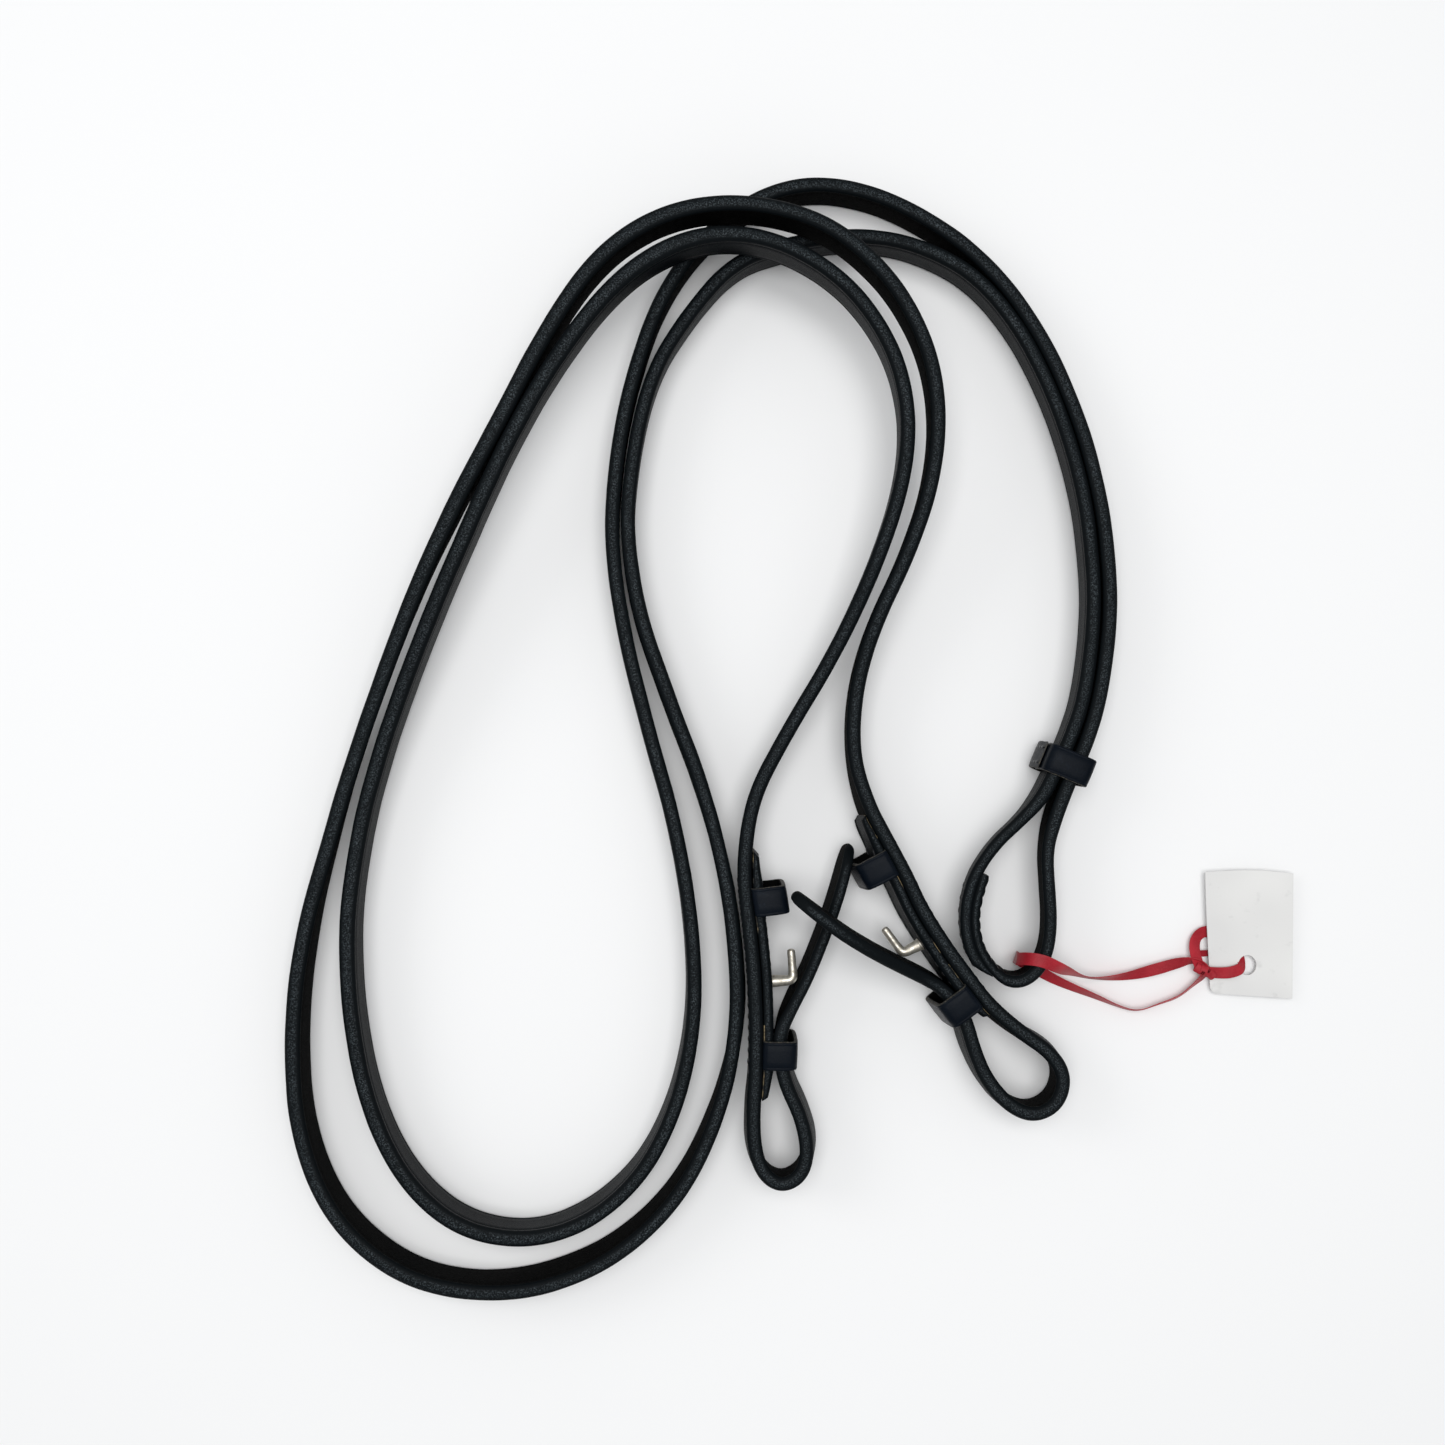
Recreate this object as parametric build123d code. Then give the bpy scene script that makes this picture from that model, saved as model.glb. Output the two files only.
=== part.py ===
from build123d import *
import math
import os

# A pair of leather riding reins, laid down in two flat rounds. The straps stand on their edges.
# Millimetres, +Z up, floor at Z = 0, origin under the middle of the laid-down reins.

# ---- Driving dimensions ----
STRAP_WIDTH = 16.0  # 5/8 inch strap, upright
STRAP_HALF = 2.0  # half the leather's thickness
SKIVED_HALF = 1.6  # half the thickness round the centre loop
TONGUE_HALF = 1.1  # half the thickness of the left strap's sewn tongue
KEEPER_LEATHER = 1.6  # keepers and runner
CLEARANCE = 0.3  # between pieces that move on each other
SEAM_GAP = 0.05  # between two sewn layers
LINING_INNER = STRAP_HALF + SEAM_GAP  # offsets from the strap's centreline
LINING_OUTER = 5.0
KEEPER_BAND = 8.6  # length along the strap
RAISED = KEEPER_LEATHER + CLEARANCE  # a strap's lower edge where a keeper goes under it
STACKED = STRAP_WIDTH + 0.6  # the lower edge where the first round lies on the second
REACH = 400.0  # longer than anything in the model

# ---- The left strap's route, at half its height ----
LEFT_TONGUE = [
    (86.2, -40.9), (83.7, -48.5), (83.1, -55.5), (84.2, -61.6), (86.5, -66.4), (89.8, -70.6),
]
LEFT_CENTRE_LOOP = [
    (93.9, -73.0), (98.5, -72.5), (102.8, -68.6), (105.2, -62.5), (105.9, -54.5), (105.3, -44.0),
    (105.0, -33.5),
]
LEFT_SECOND_UP = [
    (107.0, -23.5), (111.0, -13.0), (115.8, -1.5), (119.8, 12.0), (122.6, 29.0), (123.2, 48.0),
    (120.8, 71.0), (114.6, 96.0), (103.5, 121.5), (87.0, 143.5), (68.0, 157.5), (48.0, 166.0),
]
LEFT_SECOND_DOWN = [
    (29.0, 167.2), (12.0, 160.2), (-2.0, 147.0), (-12.0, 131.0), (-20.0, 110.0), (-25.6, 84.0),
    (-27.0, 57.5), (-22.5, 29.0), (-15.0, 0.5), (-7.0, -28.0), (-2.4, -56.0), (-1.6, -82.0),
    (-6.0, -106.5), (-16.0, -128.5), (-32.5, -144.5),
]
LEFT_FIRST_UP = [
    (-53.0, -151.5), (-73.0, -147.2), (-89.0, -133.0), (-99.5, -111.5), (-104.8, -87.0),
    (-106.6, -60.0), (-103.6, -32.5), (-96.0, -4.0), (-84.0, 26.5), (-69.5, 58.5), (-54.0, 90.0),
    (-37.5, 117.5), (-20.5, 136.5), (-1.0, 146.6),
]
LEFT_FIRST_DOWN = [
    (19.5, 146.0), (38.5, 136.6), (53.0, 120.6), (60.8, 101.0), (61.0, 79.5), (54.0, 55.0),
    (41.5, 27.0), (26.5, 2.0), (15.8, -18.0),
]
LEFT_BIT_END = [
    (13.15, -39.6), (15.1, -56.6), (16.6, -70.5), (17.15, -86.5), (16.95, -101.1), (15.9, -112.5),
    (16.1, -123.1), (19.0, -131.2), (25.2, -134.4), (31.5, -130.6), (33.5, -122.5), (30.9, -112.5),
    (26.5, -103.5), (24.7, -95.5), (24.6, -87.4),
]
LEFT_TAIL = [
    (27.5, -79.6), (31.2, -72.0), (35.6, -61.2), (39.9, -49.8), (43.0, -39.6), (44.9, -32.2),
]

# ---- The right strap's route ----
RIGHT_CENTRE_LOOP = [
    (88.6, -71.0), (84.4, -67.9), (81.6, -62.5), (80.4, -55.5), (81.0, -48.0), (83.6, -40.0),
    (89.5, -31.5), (96.8, -24.5),
]
RIGHT_SECOND_UP = [
    (102.2, -17.5), (106.4, -9.0), (110.9, 1.0), (115.2, 12.5), (118.0, 29.5), (118.6, 48.0),
    (116.4, 70.2), (110.3, 94.5), (99.4, 119.4), (85.0, 138.6), (67.0, 148.2), (47.0, 151.6),
]
RIGHT_SECOND_DOWN = [
    (27.5, 149.4), (10.0, 143.5), (-3.5, 128.0), (-14.5, 110.5), (-20.2, 87.0), (-22.4, 62.0),
    (-18.6, 38.0), (-10.0, 13.5), (-0.5, -12.0), (6.6, -37.0), (10.9, -62.5), (11.7, -88.0),
    (6.0, -111.5), (-5.5, -136.0), (-24.0, -154.5), (-47.0, -165.0),
]
RIGHT_FIRST_UP = [
    (-71.5, -167.0), (-94.5, -159.5), (-112.0, -142.0), (-121.0, -118.5), (-122.9, -91.0),
    (-120.4, -63.0), (-114.4, -36.0), (-107.0, -9.5), (-97.0, 17.0), (-85.0, 45.0), (-71.5, 70.5),
    (-57.0, 94.0), (-43.5, 119.5), (-28.5, 141.0), (-9.0, 153.5),
]
RIGHT_FIRST_DOWN = [
    (14.0, 156.0), (36.5, 150.5), (54.4, 135.8), (65.8, 117.0), (70.2, 96.5), (68.6, 75.0),
    (61.5, 53.5), (52.0, 33.5), (46.6, 13.5), (46.2, -6.0),
]
RIGHT_BIT_END = [
    (50.5, -21.0), (55.5, -30.3), (61.9, -42.2), (65.3, -50.0), (72.8, -62.1), (79.3, -70.9),
    (86.0, -79.7), (95.8, -88.1), (105.0, -93.3), (109.9, -100.4), (108.0, -108.9), (100.9, -113.1),
    (93.0, -110.6), (85.9, -102.4), (81.8, -93.2), (79.5, -84.9), (76.6, -79.2), (72.4, -74.4),
]
RIGHT_TAIL = [
    (72.4, -74.4), (67.6, -71.5), (60.4, -67.6), (51.7, -62.6), (42.9, -57.0), (35.0, -51.0),
    (28.4, -45.7),
]

# ---- Beds: the (y, z) corners of a strap's lower edge ----
FLAT = [(-REACH, 0.0), (REACH, 0.0)]
SECOND_UP_BED = [(-REACH, RAISED), (35.0, RAISED), (115.0, 0.0), (REACH, 0.0)]
FIRST_UP_BED = [(-REACH, 0.0), (-15.0, 0.0), (92.0, STACKED), (REACH, STACKED)]
FIRST_DOWN_BED = [(-REACH, RAISED), (12.0, RAISED), (90.0, STACKED), (REACH, STACKED)]
RAISED_BED = [(-REACH, RAISED), (REACH, RAISED)]

# ---- Side views of the two free ends: (y, z) for the left, (distance along, z) for the right ----
RAISED_TOP = RAISED + STRAP_WIDTH
LEFT_TAIL_BOTTOM = [
    (-90.0, RAISED), (-80.0, RAISED), (-46.0, 0.0), (-41.0, 0.0), (-35.5, 3.2), (-30.0, 6.2),
]
LEFT_TAIL_TOP = [
    (-90.0, RAISED_TOP), (-80.0, RAISED_TOP), (-46.0, STRAP_WIDTH), (-41.0, STRAP_WIDTH),
    (-35.5, 12.8), (-30.0, 9.8),
]
RIGHT_TAIL_BOTTOM = [
    (-3.0, RAISED), (2.0, RAISED), (36.0, STACKED + 1.0), (44.0, 19.8), (49.0, 22.6), (56.0, 27.2),
]
RIGHT_TAIL_TOP = [
    (-3.0, RAISED_TOP), (2.0, RAISED_TOP), (37.0, 30.6), (44.0, 32.4), (49.0, 32.2), (56.0, 30.0),
]

# ---- Keyhole that goes over the stud ----
KEYHOLE_RADIUS = 2.2
KEYHOLE_SLIT = (9.0, 1.2)  # length from the hole's middle, width
LEFT_KEYHOLE = (5.6, 9.6)  # distance along the free end, height
RIGHT_KEYHOLE = (15.0, 15.8)

# ---- Keepers: the two ends of their run, and how far they reach out ----
LEFT_UPPER_KEEPER = (LEFT_BIT_END[0], LEFT_BIT_END[1], 12.4)
LEFT_LOWER_KEEPER = (LEFT_BIT_END[3], LEFT_BIT_END[4], 12.4)
RIGHT_UPPER_KEEPER = (RIGHT_BIT_END[1], RIGHT_BIT_END[2], 12.4)
RIGHT_LOWER_KEEPER = (RIGHT_BIT_END[5], RIGHT_BIT_END[6], 13.2)
KEEPER_TONGUE = 0.5  # skived ends of a keeper, sewn between strap and lining
KEEPER_TONGUE_DEPTH = 5.0
KEEPER_INNER = LINING_INNER + 0.1  # its offset from the strap's centreline
KEEPER_CORNER = 2.0  # outside radius, of the runner as well
KEEPER_INSIDE_CORNER = 0.8
KEEPER_OPEN = 4.0  # how far its hollow is cut past its inner side

# ---- Linings, cut to these outlines ----
LEFT_LINING_CUT = [
    (10.0, -32.4), (15.6, -32.4), (19.4, -42.0), (26.0, -42.0), (26.0, -99.5), (21.6, -99.5),
    (18.0, -107.7), (10.0, -107.7),
]
RIGHT_LINING_CUT = [
    (53.0, -21.5), (49.6, -23.4), (51.4, -33.6), (45.0, -40.0), (76.0, -88.0), (82.4, -84.1),
    (86.1, -87.1), (87.8, -81.5), (90.8, -79.5),
]

# ---- Hook studs: (distance from the strap's centreline, distance up the strap) ----
STUD_HEIGHT = 9.9
STUD_RADIUS = 1.15
STUD_BEND = 2.0
STUD_NECK = 1.3  # radius
STUD_COLLAR = (1.8, 1.2)  # radius at the lining, height
LEFT_STUD = [(5.1, 0.0), (10.5, 0.0), (10.5, 9.4)]
RIGHT_STUD = [(5.1, 0.0), (11.0, 0.8), (12.4, 9.1)]
LEFT_STUD_ON = (LEFT_BIT_END[2], LEFT_BIT_END[3], 0.17)
RIGHT_STUD_ON = (RIGHT_BIT_END[3], RIGHT_BIT_END[4], 0.76)
STUD_PLATE = (0.7, 8.0, 6.0)  # flat plate between the layers

# ---- Runner, the sliding keeper round both straps ----
RUNNER_CENTRE = (110.2, -7.7)
RUNNER_AXIS = (0.385, 0.923)
RUNNER_INSIDE = (12.0, 16.6)
RUNNER_LAP = (1.3, 9.6)  # thickness, height
LAP_SUNK = 0.1  # so that it is one piece with the band
RUNNER_STITCH = 2.0  # length
RUNNER_STITCH_ROWS = (-2.4, 2.4)  # along the straps
RUNNER_STITCH_STEPS = (-2.7, 0.0, 2.7)  # up and down from the runner's middle

# ---- Ribbon, knot and ticket ----
RIBBON_RADIUS = 0.6
RIBBON_LOOP = [
    (152.6, -70.2, 1.6), (146.5, -69.6, 0.9), (137.0, -72.6, 0.8), (127.0, -74.8, 2.6),
    (117.0, -73.2, 9.0), (109.6, -69.0, 17.6), (102.4, -65.6, 20.4), (96.2, -64.8, 17.8),
    (94.2, -66.4, 10.6), (95.4, -67.6, 3.2), (99.8, -69.3, 0.8), (106.4, -72.6, 0.8),
    (113.4, -76.2, 0.8), (120.4, -79.4, 0.8), (127.6, -83.0, 0.8), (136.0, -84.4, 0.8),
    (145.0, -81.2, 0.8), (151.0, -77.6, 0.9), (154.6, -73.6, 1.7),
]
RIBBON_HITCH = [
    (157.2, -72.0, 3.0), (161.6, -72.6, 3.3), (167.0, -71.6, 3.5), (169.9, -70.2, 1.7),
    (168.2, -66.4, 0.7), (161.4, -61.8, 0.8), (156.8, -60.0, 0.9), (153.4, -63.4, 1.2),
    (153.2, -67.8, 1.9),
]
KNOT_AT = (155.2, -71.0, 1.75)
KNOT_SIZE = (5.4, 3.6, 3.3)
KNOT_TURN = -20.0  # degrees
KNOT_ROUNDING = 1.2
TICKET_THICKNESS = 0.45
TICKET_LEVEL = 1.75
TICKET_OUTLINE = [(156.2, -41.0), (183.4, -41.8), (183.6, -80.4), (160.2, -79.2), (158.6, -77.4)]
TICKET_HOLE = (169.6, -70.2)
TICKET_HOLE_RADIUS = 2.7

# ---- Thread ----
STITCH = (2.5, 0.5, 0.6)  # along, out of the leather, up
STITCH_PITCH = 3.6
STITCH_SUNK = 0.1
EDGE_MARGIN = 2.2  # from a strap's edge to its row of stitches
STITCH_HEIGHTS = (RAISED + EDGE_MARGIN, RAISED_TOP - EDGE_MARGIN)
STITCH_PROUD = STITCH[1] / 2 - STITCH_SUNK


# ---- Routes: straight runs joined by tangent arcs ----
def corner(before, at, after):
    """The arc that rounds a corner: its start, middle, end, centre, radius and side (+1 is left)."""
    back = before - at
    ahead = after - at
    tangent = 0.45 * min(back.length, ahead.length)
    back = back.normalized()
    ahead = ahead.normalized()
    half_turn = math.radians(180 - back.get_angle(ahead)) / 2
    radius = tangent / math.tan(half_turn)
    centre = at + (back + ahead).normalized() * math.hypot(radius, tangent)
    middle = centre + (at - centre).normalized() * radius
    side = -1 if back.cross(ahead).Z > 0 else 1
    return at + back * tangent, middle, at + ahead * tangent, centre, radius, side


def offset_edges(points, offset, first=0, last=None):
    """Edges beside a route, offset to its left, from the middle of one run to the middle of another."""
    points = [Vector(*p) for p in points]
    runs = len(points) - 1
    last = runs - 1 if last is None else last

    def beside(at, run):
        along = (points[run + 1] - points[run]).normalized()
        return at + Vector(-along.Y, along.X, 0) * offset

    start = points[0] if first == 0 else (points[first] + points[first + 1]) / 2
    end = points[-1] if last == runs - 1 else (points[last] + points[last + 1]) / 2
    here = beside(start, first)
    edges = []
    for i in range(first + 1, last + 1):
        arc = corner(points[i - 1], points[i], points[i + 1])
        centre, radius, side = arc[3:]
        scale = 1 - side * offset / radius
        a, b, c = (centre + (p - centre) * scale for p in arc[:3])
        edges += [Edge.make_line(here, a), Edge.make_three_point_arc(a, b, c)]
        here = c
    edges.append(Edge.make_line(here, beside(end, last)))
    return edges


def band(points, low, high, first=0, last=None):
    """Plan of a strap between two offsets from a route."""
    left = offset_edges(points, high, first, last)
    right = offset_edges(points, low, first, last)
    ends = [
        Edge.make_line(left[0] @ 0, right[0] @ 0),
        Edge.make_line(left[-1] @ 1, right[-1] @ 1),
    ]
    return Face(Wire(left + right + ends))


def slab(bed, height=STRAP_WIDTH):
    """Everything from a bed up to the strap's top, whatever its plan."""
    low = offset_edges(bed, 0)
    high = [edge.moved(Location((0, height, 0))) for edge in low]
    ends = [
        Edge.make_line(low[0] @ 0, high[0] @ 0),
        Edge.make_line(low[-1] @ 1, high[-1] @ 1),
    ]
    face = Plane.YZ * Face(Wire(low + high + ends))
    return extrude(face, amount=REACH, both=True)


def outline(points):
    return make_face(Polyline(*points, close=True))


def side_view(bottom, top):
    """Everything between two lists of (y, z) points, whatever its plan."""
    return extrude(Plane.YZ * outline(bottom + top[::-1]), amount=REACH, both=True)


def upright(face, space):
    return extrude(face, amount=REACH / 4, dir=(0, 0, 1)) & space


def strap(parts):
    """One strap from (points, half thickness, space) parts, joined in the middle of runs."""
    points = [p for part, half, space in parts for p in part]
    solids = []
    start = 0
    for part, half, space in parts:
        end = start + len(part)
        first = max(start - 1, 0)
        last = min(end - 1, len(points) - 2)
        solids.append(upright(band(points, -half, half, first, last), space))
        start = end
    return solids[0].fuse(*solids[1:])


def plane_on(run_start, run_end, side, fraction=0.5):
    """Plane across a strap: its X points out of the face on that side, its Y up; Z = 0 is the floor."""
    a = Vector(*run_start)
    b = Vector(*run_end)
    along = (b - a).normalized()
    out = Vector(-along.Y, along.X, 0) * side
    return Plane(origin=a + (b - a) * fraction, x_dir=out, z_dir=out.cross(Vector(0, 0, 1)))


# ---- Reins ----
def keyhole(plane, along, height):
    """The keyhole through a free end: its hole and its slit."""
    long, wide = KEYHOLE_SLIT
    shape = Circle(KEYHOLE_RADIUS) + Pos(long / 2, 0) * SlotOverall(long, wide)
    return extrude(plane * Pos(along, height) * shape, amount=REACH / 10, both=True)


def left_rein():
    """The left strap with its free end, pointed and slotted, in one piece."""
    solid = strap([
        (LEFT_TONGUE, TONGUE_HALF, slab(RAISED_BED)),
        (LEFT_CENTRE_LOOP, SKIVED_HALF, slab(RAISED_BED)),
        (LEFT_SECOND_UP, STRAP_HALF, slab(SECOND_UP_BED)),
        (LEFT_SECOND_DOWN, STRAP_HALF, slab(FLAT)),
        (LEFT_FIRST_UP, STRAP_HALF, slab(FIRST_UP_BED)),
        (LEFT_FIRST_DOWN, STRAP_HALF, slab(FIRST_DOWN_BED)),
        (LEFT_BIT_END, STRAP_HALF, slab(RAISED_BED)),
        (LEFT_TAIL, STRAP_HALF, side_view(LEFT_TAIL_BOTTOM, LEFT_TAIL_TOP)),
    ])
    start = Vector(*LEFT_TAIL[0])
    ahead = (Vector(*LEFT_TAIL[1]) - start).normalized()
    side = Plane(origin=start, x_dir=ahead, z_dir=ahead.cross(Vector(0, 0, 1)))
    return solid - keyhole(side, *LEFT_KEYHOLE)


def right_rein():
    """The right strap, as far as the root of its free end."""
    solid = strap([
        (RIGHT_CENTRE_LOOP, SKIVED_HALF, slab(RAISED_BED)),
        (RIGHT_SECOND_UP, STRAP_HALF, slab(SECOND_UP_BED)),
        (RIGHT_SECOND_DOWN, STRAP_HALF, slab(FLAT)),
        (RIGHT_FIRST_UP, STRAP_HALF, slab(FIRST_UP_BED)),
        (RIGHT_FIRST_DOWN, STRAP_HALF, slab(FIRST_DOWN_BED)),
        (RIGHT_BIT_END, STRAP_HALF, slab(RAISED_BED)),
    ])
    lap = LEFT_TONGUE + LEFT_CENTRE_LOOP[:2]
    room = SEAM_GAP + SKIVED_HALF
    tongue = band(lap, -TONGUE_HALF - SEAM_GAP, TONGUE_HALF + SEAM_GAP, 0, 5)
    butt = band(lap, -room, room, 5)
    root = Pos(*RIGHT_TAIL[0], 0) * Cylinder(STRAP_HALF + CLEARANCE, REACH)
    taken = [extrude(face, amount=REACH / 4, dir=(0, 0, 1)) for face in (tongue, butt)]
    return solid - taken - root


def right_tail():
    """The right strap's free end: rounded at its root, rising over the left one, pointed and slotted."""
    root = Vector(*RIGHT_TAIL[0])
    chord = (Vector(*RIGHT_TAIL[-1]) - root).normalized()
    side = Plane(origin=root, x_dir=chord, z_dir=chord.cross(Vector(0, 0, 1)))
    view = extrude(
        side * outline(RIGHT_TAIL_BOTTOM + RIGHT_TAIL_TOP[::-1]), amount=REACH / 10, both=True
    )
    flat = upright(band(RIGHT_TAIL, -STRAP_HALF, STRAP_HALF), view)
    rounded = (Pos(*RIGHT_TAIL[0], 0) * Cylinder(STRAP_HALF, REACH)) & view
    return flat + rounded - keyhole(side, *RIGHT_KEYHOLE)


# ---- Billet pieces ----
def keeper_section(plane, reach):
    """Cross-section of a sewn-in keeper: a loop whose two thin ends go into the seam."""
    inner = KEEPER_INNER
    top = RAISED + STRAP_WIDTH + CLEARANCE
    outer = Pos((inner + reach) / 2, (top + KEEPER_LEATHER) / 2) * RectangleRounded(
        reach - inner, top + KEEPER_LEATHER, KEEPER_CORNER
    )
    hollow_width = reach - KEEPER_LEATHER - inner + KEEPER_OPEN
    hollow_across = inner - KEEPER_OPEN + hollow_width / 2
    hollow = Pos(hollow_across, (KEEPER_LEATHER + top) / 2) * RectangleRounded(
        hollow_width, top - KEEPER_LEATHER, KEEPER_INSIDE_CORNER
    )
    square_width = 1.5 * KEEPER_CORNER
    square = Pos(inner + square_width / 2, (top + KEEPER_LEATHER) / 2) * Rectangle(
        square_width, top + KEEPER_LEATHER
    )
    return plane * (outer + square - hollow)


def keeper_tongues(plane, slack=0.0):
    """The keeper's skived ends in the seam, or with slack, the room that they take."""
    low = RAISED + KEEPER_TONGUE_DEPTH
    high = RAISED + STRAP_WIDTH - KEEPER_TONGUE_DEPTH
    top = RAISED + STRAP_WIDTH + CLEARANCE
    half = (KEEPER_TONGUE + slack) / 2
    length = KEEPER_BAND + 2 * slack
    across = KEEPER_INNER - slack / 2 + half
    below = Box(2 * half, low + slack - KEEPER_LEATHER, length)
    above = Box(2 * half, top - high + slack, length)
    below_at = (KEEPER_LEATHER + low + slack) / 2
    above_at = (top + high - slack) / 2
    return plane * (Pos(across, below_at, 0) * below + Pos(across, above_at, 0) * above)


def keeper(run_start, run_end, reach, side):
    plane = plane_on(run_start, run_end, side)
    loop = extrude(keeper_section(plane, reach), amount=KEEPER_BAND / 2, both=True)
    return loop + keeper_tongues(plane)


def stud_plane(where, side):
    """Horizontal plane at a stud: X points out of the lining, Y up the strap."""
    start, end, fraction = where
    plane = plane_on(start, end, side, fraction)
    up_strap = (Vector(*start) - Vector(*end)).normalized()
    origin = plane.origin + Vector(0, 0, STUD_HEIGHT)
    return Plane(origin=origin, x_dir=plane.x_dir, z_dir=plane.x_dir.cross(up_strap))


def stud_fixing(plane, slack=0.0):
    """The plate between the layers and the neck through the lining."""
    thick, long, wide = (size + slack for size in STUD_PLATE)
    plate = Pos(LINING_INNER + thick / 2, 0, 0) * Box(thick, long, wide)
    neck = Pos((LINING_INNER + LINING_OUTER) / 2, 0, 0) * Rot(0, 90, 0) * Cylinder(
        STUD_NECK + slack, LINING_OUTER - LINING_INNER
    )
    return plane * (plate + neck)


def hook_stud(route, where, side):
    plane = stud_plane(where, side)
    path = FilletPolyline(*route, radius=STUD_BEND)
    start = Plane(origin=path @ 0, z_dir=path % 0)
    wire = sweep(start * Circle(STUD_RADIUS), path=path)
    wide, high = STUD_COLLAR
    collar = Pos(LINING_OUTER + high / 2, 0, 0) * Rot(0, 90, 0) * Cone(wide, STUD_NECK, high)
    head = Pos(*route[-1]) * Sphere(STUD_RADIUS + 0.05)
    return plane * (wire + collar + head) + stud_fixing(plane)


def lining(points, cut, side, keepers, stud_at):
    low, high = sorted((side * LINING_INNER, side * LINING_OUTER))
    plan = band(points, low, high) & outline(cut)
    solid = upright(plan, slab(RAISED_BED))
    for start, end, reach in keepers:
        solid -= keeper_tongues(plane_on(start, end, side), SEAM_GAP)
    return solid - stud_fixing(stud_plane(stud_at, side), SEAM_GAP)


# ---- Thread ----
def stitch_rows(points, offset, first, last, start, end):
    """Two rows of stitches on the face at that offset from a route, between two fractions of it."""
    row = Wire(offset_edges(points, offset, first, last))
    count = int(row.length * (end - start) / STITCH_PITCH)
    stitches = []
    for i in range(count):
        where = start + (end - start) * (i + 0.5) / count
        at = row @ where
        along = row % where
        angle = math.degrees(math.atan2(along.Y, along.X))
        for z in STITCH_HEIGHTS:
            stitches.append(Pos(at.X, at.Y, z) * Rot(0, 0, angle) * Box(*STITCH))
    return stitches


def billet_stitching(points, side, last, span):
    outside = side * (LINING_OUTER + STITCH_PROUD)
    inside = -side * (STRAP_HALF + STITCH_PROUD)
    rows = stitch_rows(points, outside, 0, last, *span)
    rows += stitch_rows(points, inside, 0, last, *span)
    return Compound(children=rows)


def centre_stitching():
    rows = stitch_rows(LEFT_TONGUE, TONGUE_HALF + STITCH_PROUD, 0, 4, 0.08, 0.96)
    rows += stitch_rows(RIGHT_CENTRE_LOOP, SKIVED_HALF + STITCH_PROUD, 1, 5, 0.0, 0.84)
    return Compound(children=rows)


# ---- Runner ----
def runner_plane():
    axis = Vector(*RUNNER_AXIS).normalized()
    across = Vector(axis.Y, -axis.X, 0)
    return Plane(origin=(*RUNNER_CENTRE, 0), x_dir=across, z_dir=across.cross(Vector(0, 0, 1)))


def runner():
    """A closed band of leather, whose ends lap over on the side away from the centre."""
    wide, tall = RUNNER_INSIDE
    middle = KEEPER_LEATHER + tall / 2
    outer = RectangleRounded(wide + 2 * KEEPER_LEATHER, tall + 2 * KEEPER_LEATHER, KEEPER_CORNER)
    inner = RectangleRounded(wide, tall, KEEPER_INSIDE_CORNER)
    thick, high = RUNNER_LAP
    lap_across = -wide / 2 - KEEPER_LEATHER - thick / 2 + LAP_SUNK
    lap = Pos(lap_across, 0) * RectangleRounded(thick + 2 * LAP_SUNK, high, thick / 2)
    section = runner_plane() * Pos(0, middle) * (outer - inner + lap)
    return extrude(section, amount=KEEPER_BAND / 2, both=True)


def runner_stitching():
    wide, tall = RUNNER_INSIDE
    middle = KEEPER_LEATHER + tall / 2
    out = -wide / 2 - KEEPER_LEATHER - RUNNER_LAP[0] - STITCH[1] / 2 + STITCH_SUNK
    stitches = []
    for along in RUNNER_STITCH_ROWS:
        for step in RUNNER_STITCH_STEPS:
            stitch = Pos(out, middle + step, along) * Box(STITCH[1], RUNNER_STITCH, STITCH[2])
            stitches.append(runner_plane() * stitch)
    return Compound(children=stitches)


# ---- Ribbon, knot and ticket ----
def tube(points, radius):
    """A round cord along straight runs joined by tangent arcs."""
    points = [Vector(*p) for p in points]
    here = points[0]
    edges = []
    radii = []
    for i in range(1, len(points) - 1):
        start, middle, end, centre, bend, side = corner(*points[i - 1:i + 2])
        edges += [Edge.make_line(here, start), Edge.make_three_point_arc(start, middle, end)]
        radii.append(round(bend, 1))
        here = end
    edges.append(Edge.make_line(here, points[-1]))
    path = Wire(edges)
    solid = sweep(Plane(origin=path @ 0, z_dir=path % 0) * Circle(radius), path=path)
    expected = math.pi * radius**2 * path.length
    print("cord length", round(path.length, 1), "radii", radii)
    print("cord volume", round(solid.volume, 1), "section times length", round(expected, 1))
    return solid


def tag_ribbon():
    return Compound(children=[tube(RIBBON_LOOP, RIBBON_RADIUS), tube(RIBBON_HITCH, RIBBON_RADIUS)])


def ribbon_knot():
    """A lump whose faces the ribbon's ends run into."""
    long, wide, high = KNOT_SIZE
    lump = fillet(Box(long, wide, high).edges(), KNOT_ROUNDING)
    return Pos(*KNOT_AT) * Rot(0, 0, KNOT_TURN) * lump


def swing_ticket():
    card = extrude(Pos(0, 0, TICKET_LEVEL) * outline(TICKET_OUTLINE), amount=TICKET_THICKNESS)
    return card - Pos(*TICKET_HOLE, 0) * Cylinder(TICKET_HOLE_RADIUS, REACH)


# ---- Writing ----
LEFT_BILLET = LEFT_FIRST_DOWN[-1:] + LEFT_BIT_END
RIGHT_BILLET = RIGHT_FIRST_DOWN[-1:] + RIGHT_BIT_END
LEFT_KEEPERS = (LEFT_UPPER_KEEPER, LEFT_LOWER_KEEPER)
RIGHT_KEEPERS = (RIGHT_UPPER_KEEPER, RIGHT_LOWER_KEEPER)



def left_lining():
    return lining(LEFT_BILLET[:7], LEFT_LINING_CUT, 1, LEFT_KEEPERS, LEFT_STUD_ON)


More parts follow.
